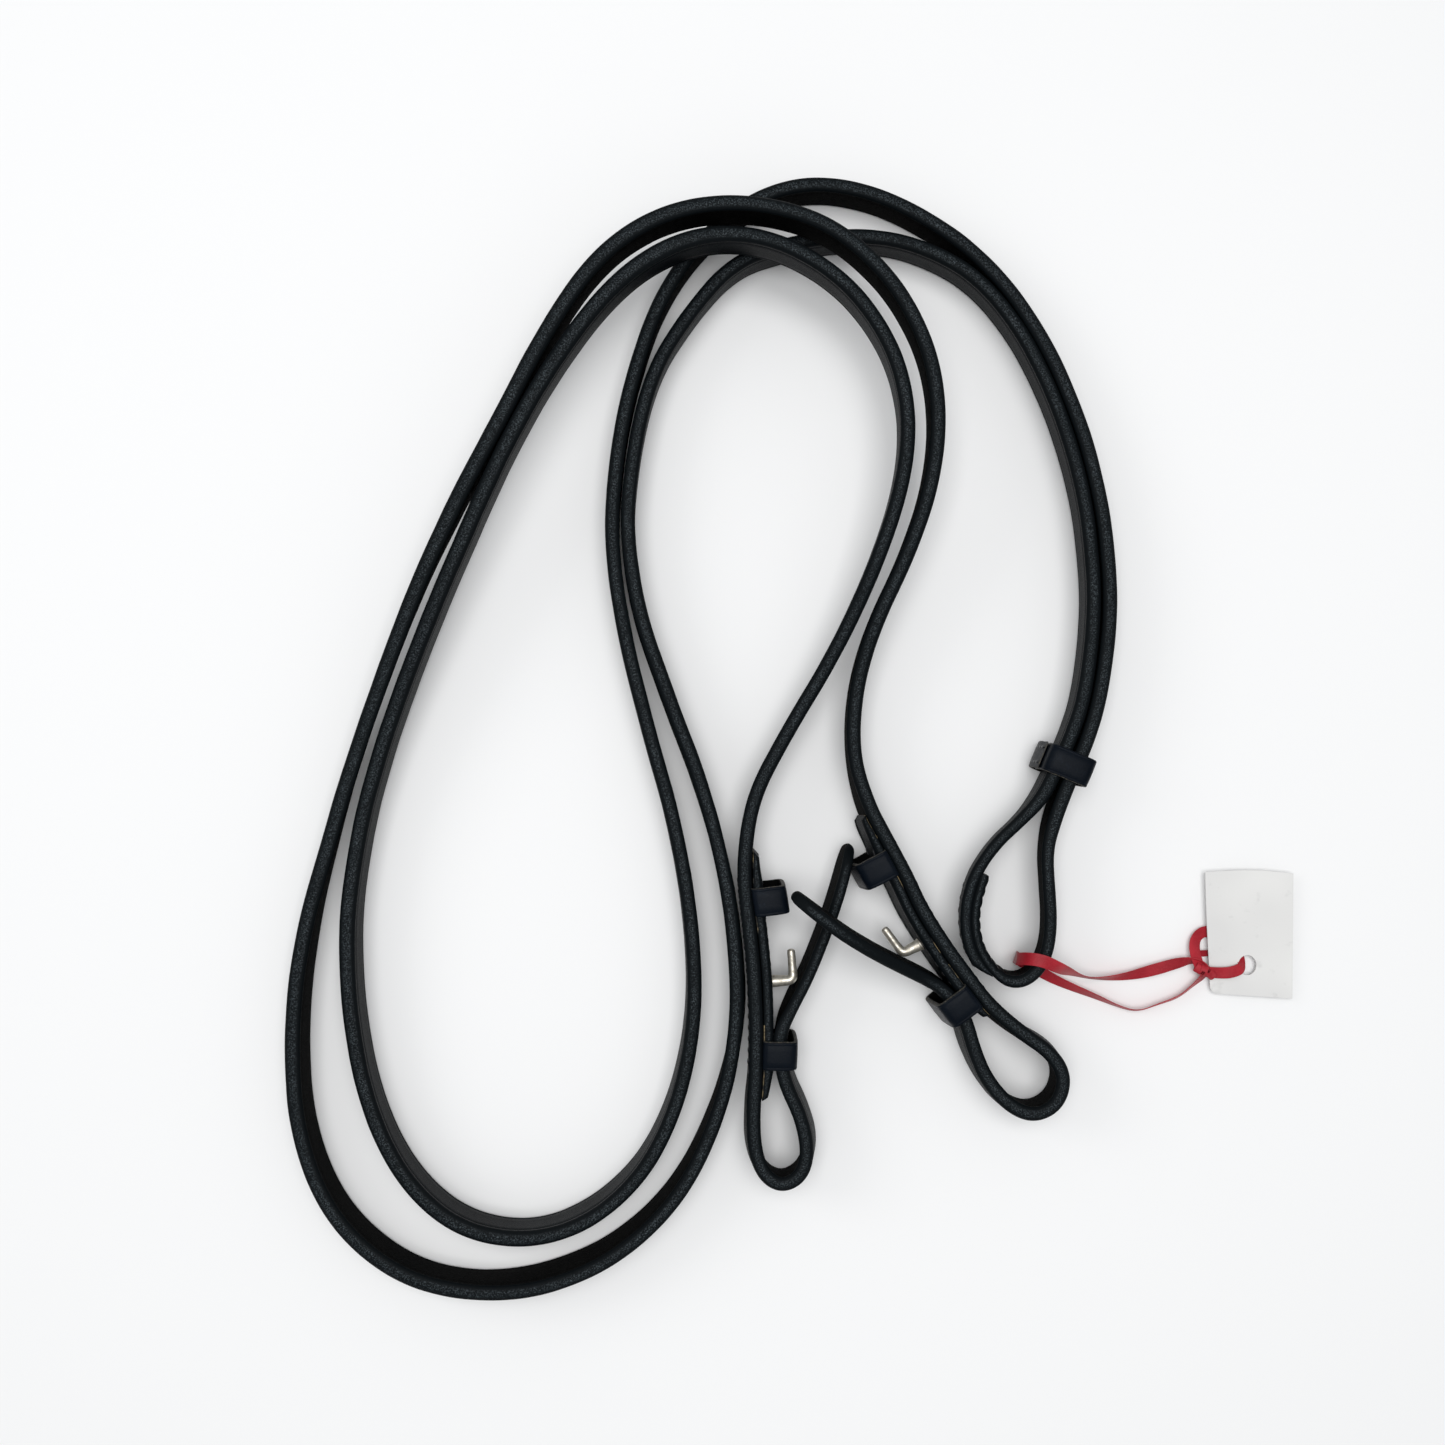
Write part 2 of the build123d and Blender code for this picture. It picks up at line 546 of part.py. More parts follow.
def right_lining():
    return lining(RIGHT_BILLET[:9], RIGHT_LINING_CUT, -1, RIGHT_KEEPERS, RIGHT_STUD_ON)


NODES = {
    "rein_left": left_rein,
    "rein_right": right_rein,
    "billet_tail_right": right_tail,
    "billet_lining_left": left_lining,
    "billet_lining_right": right_lining,
    "upper_keeper_left": lambda: keeper(*LEFT_UPPER_KEEPER, 1),
    "lower_keeper_left": lambda: keeper(*LEFT_LOWER_KEEPER, 1),
    "upper_keeper_right": lambda: keeper(*RIGHT_UPPER_KEEPER, -1),
    "lower_keeper_right": lambda: keeper(*RIGHT_LOWER_KEEPER, -1),
    "hook_stud_left": lambda: hook_stud(LEFT_STUD, LEFT_STUD_ON, 1),
    "hook_stud_right": lambda: hook_stud(RIGHT_STUD, RIGHT_STUD_ON, -1),
    "billet_stitching_left": lambda: billet_stitching(LEFT_BILLET, 1, 5, (0.3, 0.92)),
    "billet_stitching_right": lambda: billet_stitching(RIGHT_BILLET, -1, 7, (0.33, 0.93)),
    "centre_stitching": centre_stitching,
    "runner": runner,
    "runner_stitching": runner_stitching,
    "tag_ribbon": tag_ribbon,
    "ribbon_knot": ribbon_knot,
    "swing_ticket": swing_ticket,
}

os.makedirs("parts", exist_ok=True)
for name, make in NODES.items():
    export_step(make(), f"parts/{name}.step")
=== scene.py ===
import bmesh
import bpy
import math
from collections import namedtuple
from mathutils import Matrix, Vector
from mathutils.geometry import delaunay_2d_cdt
from mathutils.noise import noise


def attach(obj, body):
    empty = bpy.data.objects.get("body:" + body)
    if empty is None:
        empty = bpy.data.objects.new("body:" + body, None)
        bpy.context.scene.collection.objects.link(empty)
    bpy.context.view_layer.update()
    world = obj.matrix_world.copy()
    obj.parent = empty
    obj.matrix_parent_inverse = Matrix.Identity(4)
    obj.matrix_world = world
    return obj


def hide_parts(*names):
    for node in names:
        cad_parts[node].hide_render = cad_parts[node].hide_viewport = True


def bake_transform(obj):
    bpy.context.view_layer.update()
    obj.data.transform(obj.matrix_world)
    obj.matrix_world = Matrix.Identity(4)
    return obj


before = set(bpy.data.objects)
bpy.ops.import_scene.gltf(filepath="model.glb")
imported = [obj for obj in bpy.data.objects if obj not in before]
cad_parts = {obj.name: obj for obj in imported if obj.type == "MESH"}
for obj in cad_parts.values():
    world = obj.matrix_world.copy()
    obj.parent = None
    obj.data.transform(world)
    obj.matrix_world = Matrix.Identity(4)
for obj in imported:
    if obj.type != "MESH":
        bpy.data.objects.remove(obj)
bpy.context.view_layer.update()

# Leather riding reins, laid down in two flat rounds on their edges. Metres, +Z up, floor at Z = 0.

# ---- Camera ----
CAMERA_AT = (0.007, 0.005, 0.45)
HALF_VIEW = 0.49772  # half the width of the view over its distance

camera_data = bpy.data.cameras.new("camera")
camera_data.angle = 2 * math.atan(HALF_VIEW)
camera_data.clip_start = 0.01
camera = bpy.data.objects.new("camera", camera_data)
camera.location = CAMERA_AT
bpy.context.scene.collection.objects.link(camera)
bpy.context.scene.camera = camera

# ---- Routes of the straps, the control points of one smooth line each ----
LEFT_TONGUE = [
    (0.0862, -0.0409), (0.0837, -0.0485), (0.0831, -0.0555), (0.0842, -0.0616), (0.0865, -0.0664),
    (0.0898, -0.0706),
]
LEFT_CENTRE_LOOP = [
    (0.0939, -0.073), (0.0985, -0.0725), (0.1028, -0.0686), (0.1052, -0.0625), (0.1059, -0.0545),
    (0.1053, -0.044), (0.1047, -0.0335),
]
LEFT_SECOND_UP = [
    (0.1068, -0.0235), (0.111, -0.013), (0.1162, -0.0015), (0.1202, 0.012), (0.1229, 0.029),
    (0.1235, 0.048), (0.1211, 0.071), (0.1146, 0.096), (0.1035, 0.1215), (0.087, 0.1435),
    (0.068, 0.1575), (0.048, 0.166),
]
LEFT_SECOND_DOWN = [
    (0.029, 0.1672), (0.012, 0.1602), (-0.0024, 0.1473), (-0.0126, 0.1313), (-0.0203, 0.11),
    (-0.0256, 0.084), (-0.027, 0.0575), (-0.0225, 0.029), (-0.015, 0.0005), (-0.007, -0.028),
    (-0.0024, -0.056), (-0.0014, -0.082), (-0.0057, -0.1067), (-0.0157, -0.1288),
    (-0.0323, -0.1448),
]
LEFT_FIRST_UP = [
    (-0.053, -0.1515), (-0.073, -0.1472), (-0.089, -0.133), (-0.0995, -0.1115), (-0.1048, -0.087),
    (-0.1066, -0.06), (-0.1036, -0.0325), (-0.096, -0.004), (-0.084, 0.0265), (-0.0695, 0.0585),
    (-0.054, 0.09), (-0.0373, 0.1173), (-0.0205, 0.1365), (-0.001, 0.1466),
]
LEFT_FIRST_DOWN = [
    (0.0195, 0.146), (0.0385, 0.1366), (0.053, 0.1206), (0.0608, 0.101), (0.061, 0.0795),
    (0.054, 0.055), (0.0415, 0.027), (0.0265, 0.002), (0.0158, -0.018),
]
LEFT_BIT_END = [
    (0.01315, -0.0396), (0.0151, -0.0566), (0.0166, -0.0705), (0.01715, -0.0865),
    (0.01695, -0.1011), (0.0159, -0.1125), (0.0161, -0.1231), (0.019, -0.1312), (0.0252, -0.1344),
    (0.0315, -0.1306), (0.0335, -0.1225), (0.0309, -0.1125), (0.0265, -0.1035), (0.0247, -0.0955),
    (0.0246, -0.0874),
]
LEFT_TAIL = [
    (0.0279, -0.0796), (0.0321, -0.072), (0.03655, -0.0612), (0.0408, -0.0498), (0.04365, -0.0396),
    (0.04555, -0.0319),
]
RIGHT_CENTRE_LOOP = [
    (0.0886, -0.071), (0.0844, -0.0679), (0.0816, -0.0625), (0.0804, -0.0555), (0.081, -0.048),
    (0.0836, -0.04), (0.0895, -0.0315), (0.0972, -0.0245),
]
RIGHT_SECOND_UP = [
    (0.1031, -0.0175), (0.1073, -0.009), (0.1117, 0.001), (0.1155, 0.0125), (0.118, 0.0295),
    (0.1186, 0.048), (0.1164, 0.0702), (0.1103, 0.0945), (0.0994, 0.1194), (0.085, 0.1386),
    (0.067, 0.1487), (0.047, 0.1521),
]
RIGHT_SECOND_DOWN = [
    (0.0275, 0.1494), (0.01, 0.1435), (-0.0035, 0.128), (-0.0145, 0.1105), (-0.0202, 0.087),
    (-0.0224, 0.062), (-0.0186, 0.038), (-0.01, 0.0135), (-0.0001, -0.012), (0.0071, -0.037),
    (0.0112, -0.0625), (0.0119, -0.088), (0.0063, -0.1117), (-0.0052, -0.1363), (-0.0238, -0.1548),
    (-0.047, -0.165),
]
RIGHT_FIRST_UP = [
    (-0.0715, -0.167), (-0.0945, -0.1595), (-0.112, -0.142), (-0.121, -0.1185), (-0.1229, -0.091),
    (-0.1204, -0.063), (-0.11385, -0.03615), (-0.10615, -0.0097), (-0.09615, 0.0167),
    (-0.0843, 0.04475), (-0.0712, 0.07035), (-0.057, 0.094), (-0.0437, 0.1198), (-0.0287, 0.1412),
    (-0.009, 0.1535),
]
RIGHT_FIRST_DOWN = [
    (0.014, 0.156), (0.0365, 0.1505), (0.0544, 0.1358), (0.0658, 0.117), (0.0702, 0.0965),
    (0.0686, 0.075), (0.0615, 0.0535), (0.052, 0.0335), (0.0466, 0.0135), (0.0462, -0.006),
]
RIGHT_BIT_END = [
    (0.0505, -0.021), (0.0555, -0.0303), (0.0619, -0.0422), (0.0653, -0.05), (0.0728, -0.0621),
    (0.0793, -0.0709), (0.086, -0.0797), (0.0958, -0.0881), (0.105, -0.0933), (0.1099, -0.1004),
    (0.108, -0.1089), (0.1009, -0.1131), (0.093, -0.1106), (0.0859, -0.1024), (0.0818, -0.0932),
    (0.0795, -0.0849), (0.0766, -0.0792), (0.0724, -0.0744),
]
RIGHT_TAIL = [
    (0.0724, -0.0744), (0.0676, -0.0715), (0.0604, -0.0676), (0.0517, -0.0626), (0.0429, -0.057),
    (0.035, -0.051), (0.0274, -0.0449),
]

# ---- Beds: the (y, z) corners of a strap's lower edge ----
FAR = 0.4
RAISED = 0.0019
MIDDLE = 0.0099  # the centre of a raised strap
STACKED = 0.0166
FLAT = [(-FAR, 0.0), (FAR, 0.0)]
RAISED_BED = [(-FAR, RAISED), (FAR, RAISED)]
SECOND_UP_BED = [(-FAR, RAISED), (0.035, RAISED), (0.115, 0.0), (FAR, 0.0)]
FIRST_UP_BED = [(-FAR, 0.0), (-0.015, 0.0), (0.092, STACKED), (FAR, STACKED)]
FIRST_DOWN_BED = [(-FAR, RAISED), (0.012, RAISED), (0.09, STACKED), (FAR, STACKED)]

# ---- Ribbon: control points, each with the direction that the ribbon's width lies in ----
RIBBON = [
    (0.0962, -0.0666, 0.0106), (0.0974, -0.0652, 0.0176), (0.1024, -0.0657, 0.0197),
    (0.1078, -0.0684, 0.0176), (0.1142, -0.0718, 0.009), (0.1215, -0.0738, 0.0036),
    (0.131, -0.0735, 0.0022), (0.14, -0.0714, 0.0021), (0.1475, -0.0692, 0.0019),
    (0.1528, -0.0682, 0.0022), (0.1562, -0.0704, 0.0024), (0.156, -0.0728, 0.002),
    (0.1524, -0.076, 0.0019), (0.1478, -0.0798, 0.0019), (0.142, -0.0818, 0.0019),
    (0.135, -0.0843, 0.002), (0.129, -0.0826, 0.002), (0.1222, -0.0796, 0.0019),
    (0.115, -0.0768, 0.0016), (0.109, -0.0742, 0.0012), (0.104, -0.0712, 0.0008),
    (0.0988, -0.0684, 0.0006), (0.0966, -0.0668, 0.0026), (0.0962, -0.0666, 0.0106),
]
RIBBON_LIES = [
    (0.15, 0.99, 0.0), (0.12, 0.99, 0.0), (0.15, 0.98, 0.0), (0.4, 0.8, 0.44), (0.1, 0.22, 0.97),
    (0.0, 0.25, 0.97), (0.15, 0.72, 0.68), (0.22, 0.97, 0.05), (0.25, 0.93, 0.25),
    (0.1, 0.45, 0.88), (0.0, 0.5, 0.7), (-0.4, 0.5, 0.6), (-0.32, 0.31, 0.89), (-0.21, 0.34, 0.92),
    (-0.11, 0.32, 0.94), (0.0, 0.24, 0.97), (0.08, 0.2, 0.97), (0.17, 0.41, 0.89),
    (0.25, 0.6, 0.76), (0.35, 0.73, 0.58), (0.42, 0.84, 0.3), (0.45, 0.88, 0.0), (0.3, 0.95, 0.0),
    (0.15, 0.99, 0.0),
]
HITCH = [
    (0.1566, -0.0718, 0.0034), (0.1612, -0.0722, 0.0037), (0.1652, -0.0714, 0.0036),
    (0.1676, -0.0704, 0.002), (0.1668, -0.067, 0.0008), (0.163, -0.0622, 0.0008),
    (0.157, -0.059, 0.001), (0.153, -0.0612, 0.0015), (0.1524, -0.066, 0.0024),
    (0.1538, -0.0702, 0.0034),
]
HITCH_LIES = [
    (0.1, 0.95, 0.3), (0.0, 1.0, 0.1), (-0.1, 1.0, 0.0), (-0.3, 0.95, 0.0), (-0.9, 0.45, 0.0),
    (-0.6, 0.8, 0.0), (-0.4, 0.9, 0.15), (-0.85, 0.45, 0.25), (-1.0, 0.0, 0.1), (-0.85, -0.3, 0.4),
]
RIBBON_WIDTH = 0.0038
RIBBON_THICK = 0.00026
HITCH_WIDTH = 0.0036


# ---- Lines ----
def line_points(points, steps=12):
    """Points along the smooth NURBS line with these control points."""
    curve = bpy.data.curves.new("line", "CURVE")
    curve.dimensions = "3D"
    curve.resolution_u = steps
    spline = curve.splines.new("NURBS")
    spline.points.add(len(points) - 1)
    for control, place in zip(spline.points, points):
        control.co = (*place, 1)
    spline.order_u = 3
    spline.use_endpoint_u = True
    holder = bpy.data.objects.new("line", curve)
    mesh = bpy.data.meshes.new_from_object(holder)
    found = [v.co.copy() for v in mesh.vertices]
    bpy.data.meshes.remove(mesh)
    bpy.data.objects.remove(holder)
    bpy.data.curves.remove(curve)
    return found


# One place along a strap: its centre, the ways along and to its left, half its thickness, half its
# width, how far its top edge leans and the distance from the strap's start.
Station = namedtuple("Station", "at along side half high lean run")
HALF_WIDTH = 0.008


def level(corners, y):
    """Height of a bed at y."""
    for (a, low), (b, high) in zip(corners, corners[1:]):
        if y <= b:
            return low + (high - low) * (y - a) / (b - a)
    return corners[-1][1]


def controls(points, half, bed, lean=(0.0, 0.0), inward=0.0):
    """Control rows of one stretch: place, half thickness and how far the top edge leans."""
    rows = []
    for i, (x, y) in enumerate(points):
        back = points[max(i - 1, 0)]
        ahead = points[min(i + 1, len(points) - 1)]
        along = Vector((ahead[0] - back[0], ahead[1] - back[1])).normalized()
        tilt = lean[i] if isinstance(lean, list) else lean
        toward = inward[i] if isinstance(inward, list) else inward
        leaning = (tilt[0] - along.y * toward, tilt[1] + along.x * toward)
        rows.append((x, y, level(bed, y) + HALF_WIDTH, half, *leaning))
    return rows


def stations(rows):
    """The stations of a whole strap, from its control rows."""
    centres = line_points([row[:3] for row in rows])
    halves = line_points([(row[3], 0.0, 0.0) for row in rows])
    leans = line_points([(row[4], row[5], 0.0) for row in rows])
    found = []
    run = 0.0
    for i, at in enumerate(centres):
        back = centres[max(i - 1, 0)]
        ahead = centres[min(i + 1, len(centres) - 1)]
        along = Vector((ahead.x - back.x, ahead.y - back.y, 0.0)).normalized()
        if i:
            run += (at - centres[i - 1]).length
        side = Vector((-along.y, along.x, 0.0))
        found.append(Station(at, along, side, halves[i].x, HALF_WIDTH, leans[i], run))
    return found


def place(station, across, up):
    """The point so far to the left of a station's centre and so far above it."""
    return station.at + station.side * across + Vector((0, 0, up)) + station.lean * (up / HALF_WIDTH)


def nearest(line, x, y, first=0, last=None):
    """The index of the station nearest a place, between first and last."""
    last = len(line) if last is None else last
    return min(range(first, last), key=lambda i: math.hypot(line[i].at.x - x, line[i].at.y - y))


def at_run(line, run):
    """The station at a distance along the line, between its neighbours."""
    for a, b in zip(line, line[1:]):
        if b.run >= run:
            t = (run - a.run) / max(b.run - a.run, 1e-9)
            along = a.along.lerp(b.along, t).normalized()
            side = Vector((-along.y, along.x, 0.0))
            half = a.half + (b.half - a.half) * t
            high = a.high + (b.high - a.high) * t
            return Station(a.at.lerp(b.at, t), along, side, half, high, a.lean.lerp(b.lean, t), run)
    return line[-1]


# ---- Meshes ----
def new_object(name, bm, materials, sharp=50.0):
    """An object of the mesh. Edges that turn more than sharp degrees stay sharp."""
    mesh = bpy.data.meshes.new(name)
    bm.to_mesh(mesh)
    bm.free()
    for material in materials:
        mesh.materials.append(material)
    mesh.set_sharp_from_angle(angle=math.radians(sharp))
    made = bpy.data.objects.new(name, mesh)
    bpy.context.scene.collection.objects.link(made)
    return made


def skin(bm, rings, strips):
    """Faces through rings of points, with a cap on the first ring and the last.

    strips says the material between each point of a ring and the next, for all rings or for each.
    """
    grid = [[bm.verts.new(point) for point in ring] for ring in rings]
    count = len(grid[0])
    own = isinstance(strips[0], list)
    faces = []
    for i, (a, b) in enumerate(zip(grid, grid[1:])):
        for j in range(count):
            k = (j + 1) % count
            face = bm.faces.new((a[j], a[k], b[k], b[j]))
            face.material_index = strips[i][j] if own else strips[j]
            face.smooth = True
            faces.append(face)
    for ring in (grid[0], grid[-1]):
        face = bm.faces.new(ring)
        face.material_index = strips[0][0] if own else strips[0]
        faces.append(face)
    bmesh.ops.recalc_face_normals(bm, faces=faces)


def skinned(name, rings, strips, materials):
    bm = bmesh.new()
    skin(bm, rings, strips)
    return new_object(name, bm, materials)


def circle(count):
    """The angles of a ring's points."""
    return [2 * math.pi * k / count for k in range(count)]


def finish(made, body, slot, *nodes):
    """Puts a piece on its body and hides the CAD nodes it stands for."""
    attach(made, body)
    if nodes:
        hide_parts(*nodes)
    return made


# ---- Materials ----
def material(name, color, roughness, **inputs):
    made = bpy.data.materials.new(name)
    made.use_nodes = True
    shader = made.node_tree.nodes["Principled BSDF"]
    shader.inputs["Base Color"].default_value = (*color, 1)
    shader.inputs["Roughness"].default_value = roughness
    for socket, value in inputs.items():
        shader.inputs[socket.replace("_", " ")].default_value = value
    return made


def node(made, kind, **values):
    """A node of a material, with its sockets' values or what they are linked to."""
    new = made.node_tree.nodes.new(kind)
    for key, value in values.items():
        if key.startswith("set_"):
            setattr(new, key[4:], value)
            continue
        socket = new.inputs[int(key[3:])] if key.startswith("in_") else new.inputs[key.replace("_", " ")]
        if isinstance(value, bpy.types.NodeSocket):
            made.node_tree.links.new(value, socket)
        else:
            socket.default_value = value
    return new


def place_of(made):
    return node(made, "ShaderNodeTexCoord").outputs["Object"]


def speckle(made, where, scale, detail=2.0, rough=0.6):
    return node(
        made, "ShaderNodeTexNoise", Vector=where, Scale=scale, Detail=detail, Roughness=rough
    ).outputs["Fac"]


def ramp(made, value, low, high, start, end):
    return node(
        made, "ShaderNodeMapRange", Value=value, From_Min=low, From_Max=high, To_Min=start, To_Max=end
    ).outputs["Result"]


def times(made, first, second):
    return node(made, "ShaderNodeMath", set_operation="MULTIPLY", in_0=first, in_1=second).outputs[0]


def blend_color(made, factor, first, second):
    mixed = node(made, "ShaderNodeMix", set_data_type="RGBA")
    links = made.node_tree.links
    links.new(factor, mixed.inputs["Factor"])
    for socket, value in ((mixed.inputs[6], first), (mixed.inputs[7], second)):
        if isinstance(value, bpy.types.NodeSocket):
            links.new(value, socket)
        else:
            socket.default_value = (*value, 1)
    return mixed.outputs[2]


def bump(made, height, strength, distance, normal=None):
    new = node(made, "ShaderNodeBump", Height=height, Strength=strength, Distance=distance)
    if normal is not None:
        made.node_tree.links.new(normal, new.inputs["Normal"])
    return new.outputs["Normal"]


def dress(made, color=None, roughness=None, normal=None):
    shader = made.node_tree.nodes["Principled BSDF"]
    for socket, value in (("Base Color", color), ("Roughness", roughness), ("Normal", normal)):
        if value is not None:
            made.node_tree.links.new(value, shader.inputs[socket])
    return made


def upward(made):
    """1 where the surface faces up, 0 where it stands upright."""
    normal = node(made, "ShaderNodeNewGeometry").outputs["Normal"]
    return node(made, "ShaderNodeSeparateXYZ", Vector=normal).outputs["Z"]


def grain_leather(name, dark, light, roughness, depth, shine, pore=1500.0):
    """Dyed leather with a pebbled grain, finer pores and faint scuffs."""
    made = material(name, dark, roughness, Specular_IOR_Level=shine)
    where = place_of(made)
    cells = node(
        made, "ShaderNodeTexVoronoi", set_feature="DISTANCE_TO_EDGE", Vector=where, Scale=pore
    ).outputs["Distance"]
    fine = speckle(made, where, pore * 2.4, 3.0, 0.7)
    broad = speckle(made, where, 45.0, 4.0, 0.6)
    scuff = speckle(made, where, 420.0, 5.0, 0.65)
    color = blend_color(made, ramp(made, broad, 0.35, 0.7, 0.0, 1.0), dark, light)
    worn = tuple(c * 2.6 + 0.004 for c in light)
    color = blend_color(made, ramp(made, scuff, 0.6, 0.8, 0.0, 0.55), color, worn)
    rough = ramp(made, fine, 0.3, 0.75, roughness - 0.08, roughness + 0.12)
    pebbles = bump(made, ramp(made, cells, 0.0, 0.25, 0.0, 1.0), depth, 0.00012)
    normal = bump(made, fine, depth * 0.8, 0.00008, pebbles)
    return dress(made, color, rough, normal)


def edge_leather(name, dark, worn, roughness, shine):
    """A burnished cut edge: fibres show as speckles, lighter along its crown, where the lighter colour is
    partly worn fibres and partly a painted highlight on the up-facing dome.
    """
    made = material(name, dark, roughness, Specular_IOR_Level=shine)
    where = place_of(made)
    fibre = speckle(made, where, 2300.0, 3.0, 0.75)
    coarse = speckle(made, where, 700.0, 3.0, 0.6)
    broad = speckle(made, where, 60.0, 2.0, 0.5)
    # Painted highlight: this mask lightens the edge only where it faces up, where the overhead light falls.
    highlight_crown = ramp(made, upward(made), 0.9, 0.995, 0.0, 1.0)
    specks = ramp(made, fibre, 0.48, 0.7, 0.0, 1.0)
    amount = times(made, times(made, highlight_crown, specks), ramp(made, broad, 0.3, 0.7, 0.55, 1.0))
    # The worn colour laid on here is partly real fibre wear and partly painted highlight along the up-facing
    # crown.
    color = blend_color(made, amount, dark, worn)
    rough = ramp(made, coarse, 0.3, 0.7, roughness - 0.1, roughness + 0.1)
    normal = bump(made, fibre, 0.55, 0.00014, bump(made, coarse, 0.35, 0.0002))
    return dress(made, color, rough, normal)


BLACK_GRAIN = grain_leather(
    "black_grain", (0.002, 0.003, 0.004), (0.0044, 0.0062, 0.0078), roughness=0.5, depth=0.35, shine=0.05
)
BLACK_FLESH = grain_leather(
    "black_flesh", (0.0024, 0.0026, 0.0027), (0.0048, 0.0048, 0.0046), roughness=0.8, depth=0.6,
    shine=0.02, pore=900.0,
)
# The edge's second colour is its worn fibres together with the painted highlight along its up-facing crown.
BLACK_EDGE = edge_leather(
    "black_edge", (0.0028, 0.0042, 0.0052), (0.076, 0.092, 0.102), roughness=0.55, shine=0.06
)
KEEPER_GRAIN = grain_leather(
    "keeper_grain", (0.0018, 0.0034, 0.0064), (0.004, 0.0064, 0.0105), roughness=0.36, depth=0.2,
    shine=0.06, pore=2200.0,
)


def raw_leather():
    """The tan core of a cut edge, stained black in places."""
    made = material("raw_core", (0.3, 0.22, 0.11), 0.85)
    where = place_of(made)
    fibre = speckle(made, where, 1900.0, 3.0, 0.7)
    stain = speckle(made, where, 320.0, 3.0, 0.6)
    tan = blend_color(made, fibre, (0.16, 0.115, 0.055), (0.42, 0.33, 0.18))
    color = blend_color(made, ramp(made, stain, 0.42, 0.6, 0.0, 1.0), (0.016, 0.015, 0.013), tan)
    return dress(made, color, None, bump(made, fibre, 0.5, 0.00012))


def cut_edge():
    """The cut edge of a keeper, black with tan fibres."""
    made = material("cut_edge", (0.03, 0.03, 0.028), 0.7)
    where = place_of(made)
    fibre = speckle(made, where, 1500.0, 3.0, 0.7)
    amount = ramp(made, fibre, 0.45, 0.7, 0.0, 1.0)
    color = blend_color(made, amount, (0.012, 0.012, 0.012), (0.1, 0.088, 0.062))
    return dress(made, color, None, bump(made, fibre, 0.4, 0.0001))


def thread():
    """Black thread with the ply of its twist."""
    made = material("black_thread", (0.012, 0.013, 0.015), 0.55, Sheen_Weight=0.2)
    where = place_of(made)
    ply = node(
        made, "ShaderNodeTexWave", Vector=where, Scale=900.0, Distortion=1.5, Detail=1.0
    ).outputs["Fac"]
    color = blend_color(made, ply, (0.007, 0.008, 0.009), (0.03, 0.032, 0.036))
    return dress(made, color, None, bump(made, ply, 0.5, 0.00008))


def nickel():
    """Nickel plate with fine wear."""
    made = material("nickel", (0.58, 0.55, 0.5), 0.4, Metallic=0.72)
    where = place_of(made)
    wear = speckle(made, where, 900.0, 3.0, 0.6)
    drawn = speckle(made, where, 3500.0, 2.0, 0.5)
    color = blend_color(made, ramp(made, wear, 0.4, 0.7, 0.0, 1.0), (0.6, 0.57, 0.5), (0.36, 0.33, 0.27))
    shine = ramp(made, wear, 0.3, 0.7, 0.3, 0.5)
    return dress(made, color, shine, bump(made, drawn, 0.12, 0.00005))


def satin():
    """Red satin ribbon with a fine weave."""
    made = material(
        "red_satin", (0.32, 0.012, 0.02), 0.5, Sheen_Weight=0.06, Sheen_Roughness=0.4,
        Anisotropic=0.4, Specular_IOR_Level=0.25,
    )
    where = place_of(made)
    weave = node(
        made, "ShaderNodeTexWave", Vector=where, Scale=1600.0, Distortion=2.0, Detail=1.0
    ).outputs["Fac"]
    cloth = speckle(made, where, 2600.0, 2.0, 0.6)
    broad = speckle(made, where, 160.0, 2.0, 0.5)
    amount = ramp(made, broad, 0.3, 0.7, 0.0, 1.0)
    color = blend_color(made, amount, (0.27, 0.009, 0.017), (0.4, 0.016, 0.028))
    color = blend_color(made, ramp(made, cloth, 0.5, 0.8, 0.0, 0.4), color, (0.5, 0.045, 0.06))
    return dress(made, color, None, bump(made, weave, 0.25, 0.00006, bump(made, cloth, 0.25, 0.00005)))


def card():
    """White card, a little marked, with faint grey smudges."""
    made = material("white_card", (0.8, 0.81, 0.8), 0.5)
    where = place_of(made)
    fibre = speckle(made, where, 1200.0, 4.0, 0.6)
    smudge = speckle(made, where, 170.0, 3.0, 0.6)
    broad = speckle(made, where, 40.0, 1.0, 0.5)
    amount = ramp(made, broad, 0.35, 0.65, 0.0, 1.0)
    color = blend_color(made, amount, (0.66, 0.655, 0.645), (0.725, 0.72, 0.705))
    color = blend_color(made, ramp(made, smudge, 0.6, 0.78, 0.0, 0.5), color, (0.44, 0.44, 0.43))
    return dress(made, color, None, bump(made, fibre, 0.08, 0.00005))


RAW_CORE = raw_leather()
CUT_EDGE = cut_edge()
THREAD = thread()
NICKEL = nickel()
SATIN = satin()
CARD = card()
STRAP_MATERIALS = (BLACK_GRAIN, BLACK_FLESH, BLACK_EDGE, RAW_CORE)
GRAIN, FLESH, EDGE, RAW = range(4)

# ---- Straps ----
STITCH_PITCH = 0.0034
EDGE_ROUND = 0.0013
DOME = (0, 18, 36, 54, 70, 83, 97, 110, 126, 144, 162, 180)
CREASE = 0.00016
CREASE_DOWN = (0.0021, 0.0023, 0.0025)
FLANK_POINTS = 9


